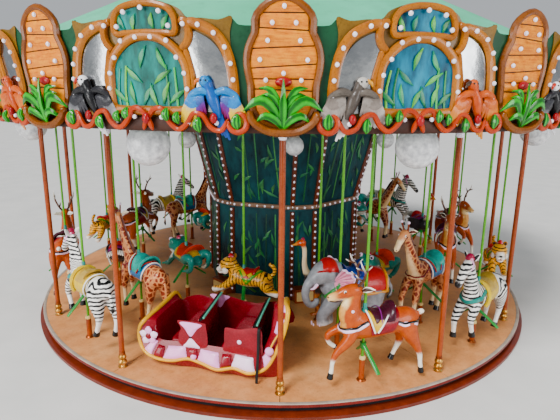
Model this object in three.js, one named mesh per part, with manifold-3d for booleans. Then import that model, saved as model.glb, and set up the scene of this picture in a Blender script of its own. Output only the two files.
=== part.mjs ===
// Jungle animal carousel: a fixed base, a round turntable with twelve posts, a painted
// fascia and a cone roof, and figures that slide up and down on poles.
// Millimetres. Origin on the axis at ground level, +Z up, the front of the ride towards -Y.
import * as THREE from 'three';
import { mergeVertices } from 'three/addons/utils/BufferGeometryUtils.js';
import Module from 'manifold-3d';

const wasm = await Module();
wasm.setup();

// Driving dimensions
const BAYS = 12;
const BAY_ANGLE = 360 / BAYS;
const DECK_RADIUS = 4100;
const DECK_TOP = 180;
const SEAT_GAP = 0.3;
const RIM_SIDES = 40;
const MERGE_TOLERANCE = 0.1;
const BASE_HEIGHT = 50;
const RUNNING_GAP = 10;
const FLOOR_THICKNESS = 8;
const CEILING_HEIGHT = 3050;
const CEILING_THICKNESS = 60;
const FACET_COUNT = 24;
const FASCIA_INNER = 4420;
const FASCIA_OUTER = 4500;
const FASCIA_BOTTOM = 2970;
const FASCIA_TOP = 3720;
const EAVE_HEIGHT = 3760;
const ROOF_SLOPE = 25;
const ROOF_THICKNESS = 50;
const POST_RADIUS = 33;
const POST_CIRCLE = 0.95 * DECK_RADIUS;
const OUTER_ROW = 3730;
const MIDDLE_ROW = 2920;
const INNER_ROW = 2110;
const POLE_RADIUS = 17;
const POLE_CLEARANCE = 0.5;
const POLE_SIDES = 6;
const LEG_SIDES = 3;
const BODY_SIDES = 5;
const POLE_BOTTOM = 150;
const POLE_TOP = 3330;
const SLEEVE_HEIGHT = 320;
const REST_OFFSET = 70;
const TOWER_RADIUS = 1330;
const TOWER_WAIST = 1560;
const TOWER_TOP_RADIUS = 1720;
const CHARIOT_ROW = 3100;

// Colours, roughness and metalness
const paints = {
  red: [0xb3232a, 0.4, 0.0],
  orange: [0xe06a1c, 0.35, 0.0],
  tan: [0xb98a62, 0.7, 0.0],
  teal: [0x1f6f6a, 0.5, 0.0],
  mint: [0xa9d8bf, 0.6, 0.0],
  green: [0x2f7d3a, 0.5, 0.0],
  gold: [0xd9a441, 0.3, 0.6],
  fascia: [0xd97a2b, 0.45, 0.0],
  dark: [0x37474a, 0.7, 0.2],
  steel: [0x6b6f72, 0.5, 0.8],
  zebra: [0xf0ece4, 0.3, 0.0],
  deer: [0xe8741c, 0.3, 0.0],
  giraffe: [0xe0955a, 0.3, 0.0],
  tiger: [0xf2b52a, 0.3, 0.0],
  elephant: [0x8d8f94, 0.35, 0.0],
  frog: [0x1f9c8a, 0.3, 0.0],
  ostrich: [0x3a3230, 0.4, 0.0],
};

const carousel = new THREE.Group();
const rad = THREE.MathUtils.degToRad;
const ACROSS = new THREE.Vector3(0, 1, 0);
const ALONG = new THREE.Vector3(1, 0, 0);

// Turns a closed geometry into a solid that can be joined and cut.
function solid(geometry) {
  geometry.deleteAttribute('normal');
  geometry.deleteAttribute('uv');
  const merged = mergeVertices(geometry, 1e-3);
  const mesh = new wasm.Mesh({
    numProp: 3,
    vertProperties: new Float32Array(merged.attributes.position.array),
    triVerts: new Uint32Array(merged.index.array),
  });
  return new wasm.Manifold(mesh);
}

function join(solids) {
  return solids.reduce((whole, piece) => whole.add(piece));
}

function geometryOf(body) {
  const mesh = body.simplify(MERGE_TOLERANCE).getMesh();
  const geometry = new THREE.BufferGeometry();
  geometry.setAttribute('position', new THREE.BufferAttribute(mesh.vertProperties, 3));
  geometry.setIndex(new THREE.BufferAttribute(mesh.triVerts, 1));
  geometry.computeVertexNormals();
  return geometry;
}

function addPiece(name, geometry, paint) {
  const [color, roughness, metalness] = paints[paint];
  const material = new THREE.MeshStandardMaterial({ color, roughness, metalness });
  const mesh = new THREE.Mesh(geometry, material);
  mesh.name = name;
  carousel.add(mesh);
  return mesh;
}

// Puts a mesh at an azimuth: local +X is the way the ride turns, local +Y points outwards.
// Azimuth 0 is the front and grows towards +X.
function stand(mesh, azimuth, radius, height) {
  mesh.rotation.z = rad(azimuth + 180);
  mesh.position.set(radius * Math.sin(rad(azimuth)), -radius * Math.cos(rad(azimuth)), height);
  return mesh;
}

// The same placing, for a geometry that is joined to others.
function placed(geometry, azimuth, radius, height) {
  geometry.rotateZ(rad(azimuth + 180));
  return geometry.translate(radius * Math.sin(rad(azimuth)), -radius * Math.cos(rad(azimuth)), height);
}

function box(x0, x1, y0, y1, z0, z1) {
  const block = new THREE.BoxGeometry(x1 - x0, y1 - y0, z1 - z0);
  return block.translate((x0 + x1) / 2, (y0 + y1) / 2, (z0 + z1) / 2);
}

function upright(radius, z0, z1, sides) {
  const bar = new THREE.CylinderGeometry(radius, radius, z1 - z0, sides);
  return bar.rotateX(Math.PI / 2).translate(0, 0, (z0 + z1) / 2);
}

// A profile of [radius, height] pairs turned about Z.
function turned(profile, sides, startAngle = 0) {
  const points = profile.map(([r, z]) => new THREE.Vector2(r, z));
  const lathe = new THREE.LatheGeometry(points, sides, startAngle, 2 * Math.PI);
  return lathe.rotateX(Math.PI / 2);
}

// A plan outline of [x, y] pairs raised from z0 to z1.
function raised(outline, z0, z1) {
  const shape = new THREE.Shape(outline.map(([x, y]) => new THREE.Vector2(x, y)));
  const block = new THREE.ExtrudeGeometry(shape, { depth: z1 - z0, bevelEnabled: false, curveSegments: 4 });
  return block.translate(0, 0, z0);
}

// A front outline in X and Z, with its front face at y = front and its back behind it.
function plate(shape, front, thickness) {
  const slab = new THREE.ExtrudeGeometry(shape, { depth: thickness, bevelEnabled: false, curveSegments: 5 });
  return slab.rotateX(Math.PI / 2).translate(0, front, 0);
}

// Rings carried along a spine and closed at both ends.
// A station is [x, y, z, half width, half depth]; the width lies along "across".
function loft(stations, sides, across = ACROSS) {
  const last = stations.length - 1;
  const skin = new THREE.CylinderGeometry(1, 1, 1, sides, last);
  const position = skin.attributes.position;
  const spine = stations.map(([x, y, z]) => new THREE.Vector3(x, y, z));
  for (let i = 0; i < position.count; i += 1) {
    const row = Math.round((position.getY(i) + 0.5) * last);
    const ahead = spine[Math.min(row + 1, last)];
    const behind = spine[Math.max(row - 1, 0)];
    const tangent = ahead.clone().sub(behind).normalize();
    const wide = across.clone().addScaledVector(tangent, -across.dot(tangent)).normalize();
    const deep = wide.clone().cross(tangent);
    const [, , , width, depth] = stations[row];
    const point = spine[row].clone();
    point.addScaledVector(wide, position.getX(i) * width);
    point.addScaledVector(deep, position.getZ(i) * depth);
    position.setXYZ(i, point.x, point.y, point.z);
  }
  return skin;
}

// Body parts lie in the middle plane: a station is [x, z, half width, half depth].
function bodyLoft(stations, sides = BODY_SIDES) {
  return solid(loft(stations.map(([x, z, w, d]) => [x, 0, z, w, d]), sides));
}

// A leg: stations of [x, z, thickness] at a side offset y.
function leg(y, stations) {
  return solid(loft(stations.map(([x, z, t]) => [x, y, z, t, t]), LEG_SIDES));
}

// What every sliding figure has: its pole and a pair of footrests in a flat V.
function poleAndFootrests(belly) {
  const restStations = [
    [-70, -300, belly - 230, 26, 16],
    [0, 0, belly, 26, 16],
    [-70, 300, belly - 230, 26, 16],
  ];
  return [
    solid(upright(POLE_RADIUS, POLE_BOTTOM, POLE_TOP, POLE_SIDES)),
    solid(loft(restStations, 3, ALONG)),
  ];
}

function deerFigure() {
  return join([
    bodyLoft([[-700, 710, 50, 70], [-560, 735, 130, 150], [-100, 715, 145, 165], [170, 770, 115, 170],
      [230, 960, 80, 110], [150, 1160, 52, 66], [260, 1210, 62, 76], [445, 1180, 30, 32]]),
    leg(85, [[170, 740, 80], [405, 620, 42], [300, 420, 34]]),
    leg(-85, [[170, 720, 80], [390, 450, 42], [425, 230, 34]]),
    leg(90, [[-520, 760, 100], [-490, 420, 42], [-430, 230, 34]]),
    leg(-90, [[-560, 760, 100], [-680, 360, 42], [-725, 140, 34]]),
    solid(loft([[190, -150, 1540, 16, 16], [190, 0, 1240, 26, 26], [190, 150, 1540, 16, 16]], 3, ALONG)),
    ...poleAndFootrests(530),
  ]);
}

function zebraFigure() {
  return join([
    bodyLoft([[-690, 770, 50, 70], [-550, 785, 140, 150], [-100, 755, 155, 165], [170, 810, 120, 165],
      [270, 980, 85, 120], [300, 1200, 55, 80], [400, 1280, 62, 80], [600, 1090, 38, 40]]),
    leg(90, [[160, 760, 85], [330, 560, 44], [290, 340, 38]]),
    leg(-90, [[160, 740, 85], [380, 500, 44], [380, 290, 38]]),
    leg(95, [[-520, 800, 105], [-560, 420, 44], [-480, 190, 38]]),
    leg(-95, [[-540, 800, 105], [-640, 400, 44], [-600, 170, 38]]),
    ...poleAndFootrests(560),
  ]);
}

function giraffeFigure() {
  return join([
    bodyLoft([[-620, 840, 50, 70], [-500, 860, 130, 145], [-50, 875, 145, 170], [230, 930, 110, 160],
      [340, 1120, 75, 100], [520, 1450, 52, 64], [600, 1545, 58, 70], [800, 1360, 38, 38]]),
    leg(80, [[240, 900, 75], [330, 560, 42], [330, 230, 36]]),
    leg(-80, [[220, 900, 75], [420, 580, 42], [400, 260, 36]]),
    leg(90, [[-460, 890, 95], [-400, 500, 44], [-330, 210, 36]]),
    leg(-90, [[-490, 890, 95], [-560, 480, 44], [-520, 180, 36]]),
    solid(loft([[580, -50, 1740, 18, 18], [580, 0, 1570, 28, 28], [580, 50, 1740, 18, 18]], 3, ALONG)),
    ...poleAndFootrests(680),
  ]);
}

function tigerFigure() {
  return join([
    bodyLoft([[-420, 600, 60, 70], [-290, 600, 118, 112], [-40, 582, 118, 120], [130, 650, 95, 110],
      [230, 770, 110, 110], [390, 700, 50, 52]]),
    leg(75, [[130, 600, 65], [320, 425, 44], [440, 400, 48]]),
    leg(-75, [[130, 600, 65], [290, 400, 44], [400, 340, 48]]),
    leg(80, [[-330, 600, 80], [-430, 430, 44], [-520, 420, 48]]),
    leg(-80, [[-330, 600, 80], [-360, 400, 44], [-470, 350, 48]]),
    bodyLoft([[-380, 640, 28, 28], [-450, 720, 26, 26], [-410, 830, 30, 30]], 3),
    ...poleAndFootrests(480),
  ]);
}

function elephantFigure() {
  return join([
    bodyLoft([[-690, 770, 60, 80], [-550, 795, 180, 200], [-100, 800, 215, 235], [60, 880, 165, 220],
      [200, 1010, 165, 165], [400, 900, 80, 100], [430, 680, 44, 48], [370, 510, 34, 34]]),
    solid(loft([[60, -330, 920, 26, 130], [60, 0, 970, 30, 150], [60, 330, 920, 26, 130]], 4, ALONG)),
    leg(120, [[60, 850, 110], [260, 470, 82], [250, 380, 76]]),
    leg(-120, [[60, 850, 110], [110, 420, 82], [90, 250, 78]]),
    leg(125, [[-470, 760, 120], [-430, 430, 86], [-450, 240, 80]]),
    leg(-125, [[-480, 760, 120], [-580, 440, 86], [-600, 260, 80]]),
    bodyLoft([[-670, 800, 24, 24], [-740, 700, 20, 20], [-690, 590, 26, 26]], 3),
    ...poleAndFootrests(560),
  ]);
}

function frogFigure() {
  return join([
    bodyLoft([[-330, 700, 70, 60], [-180, 720, 150, 120], [60, 760, 165, 140], [230, 840, 150, 120],
      [350, 870, 90, 70]]),
    solid(loft([[250, -100, 960, 40, 46], [250, 0, 930, 30, 30], [250, 100, 960, 40, 46]], 4, ALONG)),
    leg(130, [[150, 760, 55], [260, 600, 36], [330, 560, 46]]),
    leg(-130, [[150, 760, 55], [260, 600, 36], [330, 560, 46]]),
    leg(150, [[-160, 780, 85], [-360, 820, 52], [-300, 590, 46]]),
    leg(-150, [[-160, 780, 85], [-360, 820, 52], [-300, 590, 46]]),
    ...poleAndFootrests(620),
  ]);
}

function ostrichFigure() {
  return join([
    bodyLoft([[-420, 720, 40, 50], [-280, 700, 120, 110], [-20, 680, 140, 130], [150, 730, 80, 90],
      [225, 900, 34, 40], [235, 1250, 34, 34], [290, 1300, 40, 42], [400, 1270, 18, 14]]),
    leg(60, [[-40, 660, 60], [60, 420, 28], [0, 210, 28]]),
    leg(-60, [[-60, 660, 60], [-120, 420, 28], [-230, 220, 28]]),
    ...poleAndFootrests(540),
  ]);
}

const figures = {
  deer: deerFigure(),
  zebra: zebraFigure(),
  giraffe: giraffeFigure(),
  tiger: tigerFigure(),
  elephant: elephantFigure(),
  frog: frogFigure(),
  ostrich: ostrichFigure(),
};

// Which figure stands in each bay of each row, and whether it rests high (+1) or low (-1).
// Bay 0 is the bay just to the right of the front post; bays 5 and 11 hold the chariots.
const rows = [
  { name: 'outer', radius: OUTER_ROW, bays: {
    0: ['deer', -1], 1: ['zebra', -1], 2: ['tiger', 1], 3: ['deer', -1], 4: ['zebra', 1],
    6: ['deer', -1], 7: ['zebra', -1], 8: ['tiger', 1], 9: ['deer', 1], 10: ['zebra', 1] } },
  { name: 'middle', radius: MIDDLE_ROW, bays: {
    0: ['elephant', 1], 1: ['giraffe', -1], 2: ['deer', 1], 3: ['ostrich', 1], 4: ['giraffe', -1],
    6: ['elephant', 1], 7: ['giraffe', -1], 8: ['deer', 1], 9: ['ostrich', -1], 10: ['giraffe', -1] } },
  { name: 'inner', radius: INNER_ROW, bays: {
    0: ['ostrich', -1], 1: ['frog', -1], 4: ['frog', 1], 5: ['tiger', 1],
    6: ['ostrich', -1], 7: ['frog', -1], 10: ['frog', 1], 11: ['tiger', 1] } },
];
const CHARIOT_BAYS = [5, 11];

function bayAzimuth(bay) {
  return (bay + 0.5) * BAY_ANGLE;
}

// Every sliding figure, as [name, species, azimuth, radius, high or low].
const seats = rows.flatMap((row) => Object.entries(row.bays).map(([bay, [species, level]]) => (
  { name: `${row.name}_${species}_${bay}`, species, level, radius: row.radius, azimuth: bayAzimuth(Number(bay)) }
)));

function addFigures() {
  for (const seat of seats) {
    const mesh = addPiece(seat.name, geometryOf(figures[seat.species]), seat.species);
    stand(mesh, seat.azimuth, seat.radius, DECK_TOP + seat.level * REST_OFFSET);
  }
}

// Fixed base: a ring and a cross of beams that meet in the hub of the centre bearing.
function addBase() {
  const ringInner = 3850;
  const ringOuter = 4150;
  const hubRadius = 900;
  const beamHalfWidth = 90;
  const deckBottom = BASE_HEIGHT + RUNNING_GAP;
  addPiece('base_ring', turned([[ringInner, 0], [ringOuter, 0], [ringOuter, BASE_HEIGHT],
    [ringInner, BASE_HEIGHT], [ringInner, 0]], RIM_SIDES), 'orange');
  const reach = ringInner - beamHalfWidth * Math.tan(Math.PI / RIM_SIDES) - SEAT_GAP;
  addPiece('base_cross', geometryOf(join([
    solid(upright(hubRadius, 0, deckBottom - SEAT_GAP, 24)),
    solid(box(-reach, reach, -beamHalfWidth, beamHalfWidth, 0, BASE_HEIGHT)),
    solid(box(-beamHalfWidth, beamHalfWidth, -reach, reach, 0, BASE_HEIGHT)),
  ])), 'steel');
}

// Turntable disc with a grooved rim, and the floor covering with a sleeve for each pole.
function addDeck() {
  const bottom = BASE_HEIGHT + RUNNING_GAP;
  const floorBottom = DECK_TOP - FLOOR_THICKNESS;
  const grooveRadius = DECK_RADIUS - 60;
  const deckTop = floorBottom - SEAT_GAP;
  addPiece('deck', turned([[0, bottom], [grooveRadius, bottom], [grooveRadius, DECK_TOP - 50],
    [DECK_RADIUS, DECK_TOP - 50], [DECK_RADIUS, deckTop], [0, deckTop]], RIM_SIDES), 'red');
  const sleeve = solid(upright(36, floorBottom, DECK_TOP + SLEEVE_HEIGHT, POLE_SIDES));
  const bore = solid(upright(POLE_RADIUS + POLE_CLEARANCE, DECK_TOP + 20, DECK_TOP + SLEEVE_HEIGHT + 10, POLE_SIDES));
  const socket = geometryOf(sleeve.subtract(bore));
  const disc = solid(turned([[0, floorBottom], [DECK_RADIUS, floorBottom], [DECK_RADIUS, DECK_TOP], [0, DECK_TOP]], RIM_SIDES));
  const sockets = seats.map((seat) => solid(placed(socket.clone(), seat.azimuth, seat.radius, 0)));
  addPiece('deck_floor', geometryOf(join([disc, ...sockets])), 'tan');
}

function addPosts() {
  const height = CEILING_HEIGHT - 2 * SEAT_GAP;
  const profile = [[0, 0], [58, 0], [40, 45], [56, 90], [POST_RADIUS, 200], [POST_RADIUS, height], [0, height]];
  for (let i = 0; i < BAYS; i += 1) {
    const post = addPiece(`post_${i + 1}`, turned(profile, 6), 'orange');
    stand(post, i * BAY_ANGLE, POST_CIRCLE, DECK_TOP + SEAT_GAP);
  }
}

// Centre tower: six wide and six narrow flat panels, upright below the waist and flared above it.
function towerOutline(radius) {
  const corners = [];
  for (let i = 0; i < 6; i += 1) {
    for (const azimuth of [7 + 60 * i, 23 + 60 * i]) {
      corners.push([radius * Math.sin(rad(azimuth)), -radius * Math.cos(rad(azimuth))]);
    }
  }
  return corners;
}

function addTower() {
  const waist = DECK_TOP + TOWER_WAIST;
  const bandHeight = 60;
  addPiece('tower_drum', geometryOf(join([
    solid(raised(towerOutline(TOWER_RADIUS), DECK_TOP + SEAT_GAP, waist)),
    solid(raised(towerOutline(TOWER_RADIUS + 40), waist - bandHeight, waist)),
  ])), 'teal');
  const crown = raised(towerOutline(TOWER_RADIUS), waist + SEAT_GAP, DECK_TOP + CEILING_HEIGHT - SEAT_GAP);
  const position = crown.attributes.position;
  const flare = TOWER_TOP_RADIUS / TOWER_RADIUS;
  for (let i = 0; i < position.count; i += 1) {
    if (position.getZ(i) > waist + bandHeight) {
      position.setXY(i, position.getX(i) * flare, position.getY(i) * flare);
    }
  }
  addPiece('tower_crown', crown, 'teal');
}

// Corner points of a ring of flat facets, whose faces are centred every 15 degrees.
function facetPoint(azimuth, faceRadius) {
  const step = 360 / FACET_COUNT;
  const off = azimuth - step * Math.round(azimuth / step);
  const radius = faceRadius / Math.cos(rad(off));
  return [radius * Math.sin(rad(azimuth)), -radius * Math.cos(rad(azimuth))];
}

function addCeiling() {
  const bottom = DECK_TOP + CEILING_HEIGHT;
  const corners = [];
  for (let i = 0; i < FACET_COUNT; i += 1) {
    corners.push(facetPoint((i + 0.5) * (360 / FACET_COUNT) - 1e-6, FASCIA_INNER - SEAT_GAP));
  }
  const slab = solid(raised(corners, bottom, bottom + CEILING_THICKNESS));
  const hole = upright(POLE_RADIUS + 20, bottom - 10, bottom + CEILING_THICKNESS + 10, 4);
  const holes = seats.map((seat) => solid(placed(hole.clone(), seat.azimuth, seat.radius, 0)));
  const lamps = [-20, 20, 70, 110, 160, 200, 250, 290].flatMap((azimuth) => lamp(azimuth, 4020, 225, 2790));
  addPiece('ceiling', geometryOf(join([slab.subtract(join(holes)), ...lamps])), 'green');
}

// A globe lamp on a short stem under the ceiling.
function lamp(azimuth, radius, globeRadius, centreHeight) {
  const globe = new THREE.SphereGeometry(globeRadius, 6, 3).rotateX(Math.PI / 2);
  const stem = upright(28, 0, CEILING_HEIGHT - centreHeight + 10, 4);
  return [
    solid(placed(globe, azimuth, radius, DECK_TOP + centreHeight)),
    solid(placed(stem, azimuth, radius, DECK_TOP + centreHeight)),
  ];
}

function addRoof() {
  const bottom = DECK_TOP + CEILING_HEIGHT + CEILING_THICKNESS + SEAT_GAP;
  const cornerScale = 1 / Math.cos(Math.PI / FACET_COUNT);
  const outer = (FASCIA_INNER - 20) * cornerScale;
  const inner = outer - ROOF_THICKNESS;
  const rise = Math.tan(rad(ROOF_SLOPE));
  const eave = DECK_TOP + EAVE_HEIGHT;
  const apex = eave + outer * rise;
  const lowerApex = apex - ROOF_THICKNESS * 1.2;
  const innerEave = lowerApex - inner * rise;
  const profile = [[inner, bottom], [outer, bottom], [outer, eave], [0, apex], [0, lowerApex],
    [inner, innerEave], [inner, bottom]];
  addPiece('roof', turned(profile, FACET_COUNT, Math.PI / FACET_COUNT), 'mint');
  const seatRadius = 200;
  const seat = apex - seatRadius * rise;
  const finial = [[0, apex + SEAT_GAP], [seatRadius, seat + SEAT_GAP], [120, apex + 60], [150, apex + 170], [0, apex + 420]];
  addPiece('finial', turned(finial, FACET_COUNT, Math.PI / FACET_COUNT), 'gold');
}

// Tall shield with a wavy outline that carries planks and a leaf cluster.
function shieldShape() {
  const shape = new THREE.Shape();
  const half = [[140, 3000], [270, 3140], [320, 3530], [270, 3840]];
  shape.moveTo(0, 4110);
  for (const [x, z] of [...half].reverse()) {
    shape.lineTo(x, z);
  }
  for (const [x, z] of half) {
    shape.lineTo(-x, z);
  }
  shape.closePath();
  return shape;
}

// Wide panel: a tall arch in the middle and a lower mirror frame at each side.
function archShape() {
  const shape = new THREE.Shape();
  const half = [[780, 3060], [780, 3700], [420, 3830], [290, 4000]];
  shape.moveTo(0, 4060);
  for (const [x, z] of [...half].reverse()) {
    shape.lineTo(x, z);
  }
  for (const [x, z] of half) {
    shape.lineTo(-x, z);
  }
  shape.closePath();
  return shape;
}

// A spread-winged bird that hangs off the fascia with its tail down.
function bird() {
  const half = [[60, -330], [235, 50], [200, 180]];
  const outline = [...half.map(([x, z]) => [-x, z]), [0, 260], ...[...half].reverse()];
  const shape = new THREE.Shape(outline.map(([x, z]) => new THREE.Vector2(x, z)));
  return plate(shape, 130, 150);
}

// Leaves that spread from a bowl at the foot of a shield.
function leafCluster() {
  return loft([[0, 60, 3005, 120, 60], [0, 100, 3160, 250, 70], [0, 60, 3420, 110, 25]], 4, ALONG);
}

function ringSector(from, to, innerFace, outerFace, z0, z1) {
  const step = 360 / FACET_COUNT;
  const firstCorner = step * (Math.ceil(from / step - 0.5) + 0.5);
  const stops = [from];
  for (let azimuth = firstCorner; azimuth < to; azimuth += step) {
    stops.push(azimuth);
  }
  stops.push(to);
  const outside = stops.map((azimuth) => facetPoint(azimuth, outerFace));
  const inside = stops.map((azimuth) => facetPoint(azimuth, innerFace)).reverse();
  return solid(raised([...outside, ...inside], z0, z1));
}

function addFascia() {
  const spanStart = -4.26;
  const seamAngle = 0.02;
  for (let i = 0; i < 6; i += 1) {
    const start = 60 * i + spanStart;
    const end = start + 60 - seamAngle;
    const parts = [
      ringSector(start, end, FASCIA_INNER, FASCIA_OUTER, DECK_TOP + FASCIA_BOTTOM + 20, DECK_TOP + FASCIA_TOP),
      ringSector(start, end, FASCIA_INNER, FASCIA_OUTER + 110, DECK_TOP + FASCIA_BOTTOM, DECK_TOP + FASCIA_BOTTOM + 150),
    ];
    for (const azimuth of [60 * i, 60 * i + 30]) {
      parts.push(solid(placed(plate(shieldShape(), 80, 90), azimuth, FASCIA_OUTER, DECK_TOP)));
      parts.push(solid(placed(leafCluster(), azimuth, FASCIA_OUTER, DECK_TOP)));
      parts.push(solid(placed(plate(archShape(), 55, 60), azimuth + 15, FASCIA_OUTER, DECK_TOP)));
    }
    for (const azimuth of [7.5, 22.5, 37.5, 52.5]) {
      parts.push(solid(placed(bird(), 60 * i + azimuth, FASCIA_OUTER, DECK_TOP + 3240)));
    }
    addPiece(`fascia_${i + 1}`, geometryOf(join(parts)), 'fascia');
  }
}

// A two-bench chariot: flared tub, leaning prow and stern, seat blocks, backs and side arms.
function chariot() {
  const side = [[-760, 60], [-1000, 880], [-1050, 920], [-1060, 880], [-840, 60]];
  const prow = [[600, 60], [760, 560], [800, 575], [800, 540], [700, 60]];
  const tub = [[-700, -400], [560, -400], [680, -250], [680, 250], [560, 430], [-700, 430]];
  const skirt = [[-840, -500], [700, -500], [810, -380], [840, 0], [800, 420], [640, 540], [200, 500],
    [-200, 560], [-600, 520], [-840, 520]];
  const section = (outline, y0, y1) => {
    const shape = new THREE.Shape(outline.map(([x, z]) => new THREE.Vector2(x, z)));
    return solid(plate(shape, y1, y1 - y0));
  };
  return join([
    solid(raised(tub, SEAT_GAP, 70)),
    solid(raised(skirt, 60, 130)),
    section(side, -240, 470),
    section(prow, -470, 470),
    solid(box(-720, 680, -480, -430, 100, 560)),
    solid(box(-20, 330, 430, 480, 100, 620)),
    solid(box(-720, -280, 430, 480, 100, 660)),
    solid(box(-720, 680, 430, 480, 100, 230)),
    solid(box(0, 60, -460, 460, 100, 640)),
    solid(box(-760, -640, -460, 460, 100, 670)),
    solid(box(50, 380, -460, 460, 100, 360)),
    solid(box(-650, -320, -460, 460, 100, 360)),
  ]);
}

function addChariots() {
  const body = geometryOf(chariot());
  CHARIOT_BAYS.forEach((bay, i) => {
    stand(addPiece(`chariot_${i + 1}`, body.clone(), 'red'), bayAzimuth(bay), CHARIOT_ROW, DECK_TOP);
  });
}

addBase();
addDeck();
addPosts();
addTower();
addCeiling();
addRoof();
addFascia();
addChariots();
addFigures();

export default carousel;
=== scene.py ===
"""Jungle carousel: moulded figures on rising poles, bench chariots, fascia, tower and their finishes."""

import math
from functools import partial

import bpy
import numpy as np
from bpy.props import FloatProperty, PointerProperty, StringProperty
from bpy.types import Operator, Panel, PropertyGroup
from mathutils import Matrix, Vector


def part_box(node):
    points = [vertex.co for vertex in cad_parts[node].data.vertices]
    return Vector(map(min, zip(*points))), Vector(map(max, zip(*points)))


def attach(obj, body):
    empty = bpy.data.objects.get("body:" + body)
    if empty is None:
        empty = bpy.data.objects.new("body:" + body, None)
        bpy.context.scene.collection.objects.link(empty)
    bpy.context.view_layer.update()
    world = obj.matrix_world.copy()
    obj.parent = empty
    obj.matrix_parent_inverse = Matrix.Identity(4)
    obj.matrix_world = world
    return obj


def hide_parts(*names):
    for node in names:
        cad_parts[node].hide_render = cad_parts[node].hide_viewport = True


bl_info = {
    "name": "Jungle Carousel",
    "version": (1, 0, 0),
    "blender": (4, 5, 0),
    "location": "View3D > Sidebar > Carousel",
    "description": "Figures, chariots, fascia, tower and finishes of a jungle carousel",
    "category": "Add Mesh",
}

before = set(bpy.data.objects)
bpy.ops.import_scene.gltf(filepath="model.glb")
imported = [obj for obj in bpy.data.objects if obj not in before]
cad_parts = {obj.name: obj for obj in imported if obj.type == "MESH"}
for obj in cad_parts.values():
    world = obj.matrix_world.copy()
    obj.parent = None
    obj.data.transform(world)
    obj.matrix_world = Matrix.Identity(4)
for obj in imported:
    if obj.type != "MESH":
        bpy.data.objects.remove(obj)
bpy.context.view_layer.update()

# Sizes in metres and angles in radians. DECK_TOP is over the ground, and other heights are over the deck
TURN = 2 * math.pi
BAYS = 12
BAY_ANGLE = TURN / BAYS
DECK_TOP = .18
CEILING = 3.05
POST_CIRCLE = 3.895
CHARIOT_ROW = 3.1
CHARIOT_BAYS = (5, 11)
FASCIA_RADIUS = 4.5
ROOF_RADIUS = 4.4
ROOF_SLOPE = math.tan(math.radians(25))
TOWER_RADIUS = 1.33
TOWER_TOP_RADIUS = 1.72
TOWER_WAIST = 1.56
# Degrees within a sixth of the ring: the tower's corners, and the middle and half width of its panels
TOWER_CORNERS = (7, 23)
TOWER_PANELS = ((15, 8), (45, 22))
ROW_RADII = {"outer": 3.73, "middle": 2.92, "inner": 2.11}
POLE_TOP = 3.33
REST_OFFSET = .07
TOWER_BULB = .019
SHARP_ANGLE = .75
OUT = (0, 1, 0)


# Sizes and colours that a user can change

class CarouselSizes(PropertyGroup):
    """Sizes that can be set in the panel."""
    deck_radius: FloatProperty(name="Deck radius", description="Outer radius of the turning floor",
                               default=4.1, unit="LENGTH")
    post_radius: FloatProperty(name="Post radius", description="Radius of the twelve outer posts",
                               default=.0325, unit="LENGTH")
    pole_radius: FloatProperty(name="Pole radius", description="Radius of the poles that carry the figures",
                               default=.017, unit="LENGTH")
    sleeve_height: FloatProperty(name="Sleeve height", description="Height of the sleeve round each pole",
                                 default=.32, unit="LENGTH")
    bulb_radius: FloatProperty(name="Bulb radius", description="Radius of the small white bulbs",
                               default=.021, unit="LENGTH")
    globe_radius: FloatProperty(name="Globe radius", description="Radius of the globes under the ceiling",
                                default=.222, unit="LENGTH")
    grain: FloatProperty(name="Figure grain", description="Edge length of the figures' moulded surface",
                         default=.015, unit="LENGTH")


class CarouselColours(PropertyGroup):
    """Main colours that can be set in the panel."""
    enamel: StringProperty(name="Post enamel", description="Colour of posts and sleeves", default="#923a04")
    deck: StringProperty(name="Deck", description="Colour of the floor", default="#d28848")
    roof: StringProperty(name="Roof", description="Colour of the cone roof", default="#4fc496")
    pole: StringProperty(name="Poles", description="Colour of the figures' poles", default="#4f9c04")
    chariot: StringProperty(name="Chariots", description="Colour of the chariots' tubs", default="#82041a")


# Surfaces

WIDTHS = {"grain": 3, "local": 3, "paint": 3, "phase": 1, "marked": 1}


class Form:
    """Points, triangles, and the values that each point carries, such as its paint."""

    def __init__(self, points, faces, values=None):
        """Keeps the points as x, y, z and the faces as three numbers of points."""
        self.points = np.asarray(points, float)
        self.faces = np.asarray(faces, int)
        self.values = values or {}

    def placed(self, place, *where):
        """The form at another place. It keeps its old points as the place that patterns follow."""
        return Form(place(self.points, *where), self.faces, {"local": self.points, **self.values})

    def carrying(self, **values):
        """The form with more values."""
        return Form(self.points, self.faces, {**self.values, **values})

    def painted(self, colour):
        """The form in one colour."""
        return self.carrying(paint=np.tile(linear(colour)[:3], (len(self.points), 1)))

    def value(self, key):
        """A value of each point. Without one the paint is white and other values are 0."""
        if key in self.values:
            return np.asarray(self.values[key], float).reshape(len(self.points), -1)
        if key == "local":
            return self.points
        return np.full((len(self.points), WIDTHS[key]), 1.0 if key == "paint" else 0.0)


def joined(forms):
    """One form of several: their points in a row, their faces counted on, and their values."""
    forms = list(forms)
    starts = np.cumsum([0] + [len(form.points) for form in forms[:-1]])
    faces = np.concatenate([form.faces + start for form, start in zip(forms, starts)])
    keys = sorted(set().union(*(form.values for form in forms)))
    values = {key: np.concatenate([form.value(key) for form in forms]) for key in keys}
    return Form(np.concatenate([form.points for form in forms]), faces, values)


def xyz(x, y, z):
    """Points from their three measures, which are arrays or numbers that spread over one grid."""
    return np.stack(np.broadcast_arrays(x, y, z), -1)


def round_axis(radius, angle, z):
    """Points at a radius, an angle from the front and a height."""
    return xyz(radius * np.sin(angle), -radius * np.cos(angle), z)


def unit(vectors):
    """Vectors brought to a length of one."""
    return vectors / np.maximum(np.linalg.norm(vectors, axis=-1, keepdims=True), 1e-9)


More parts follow.
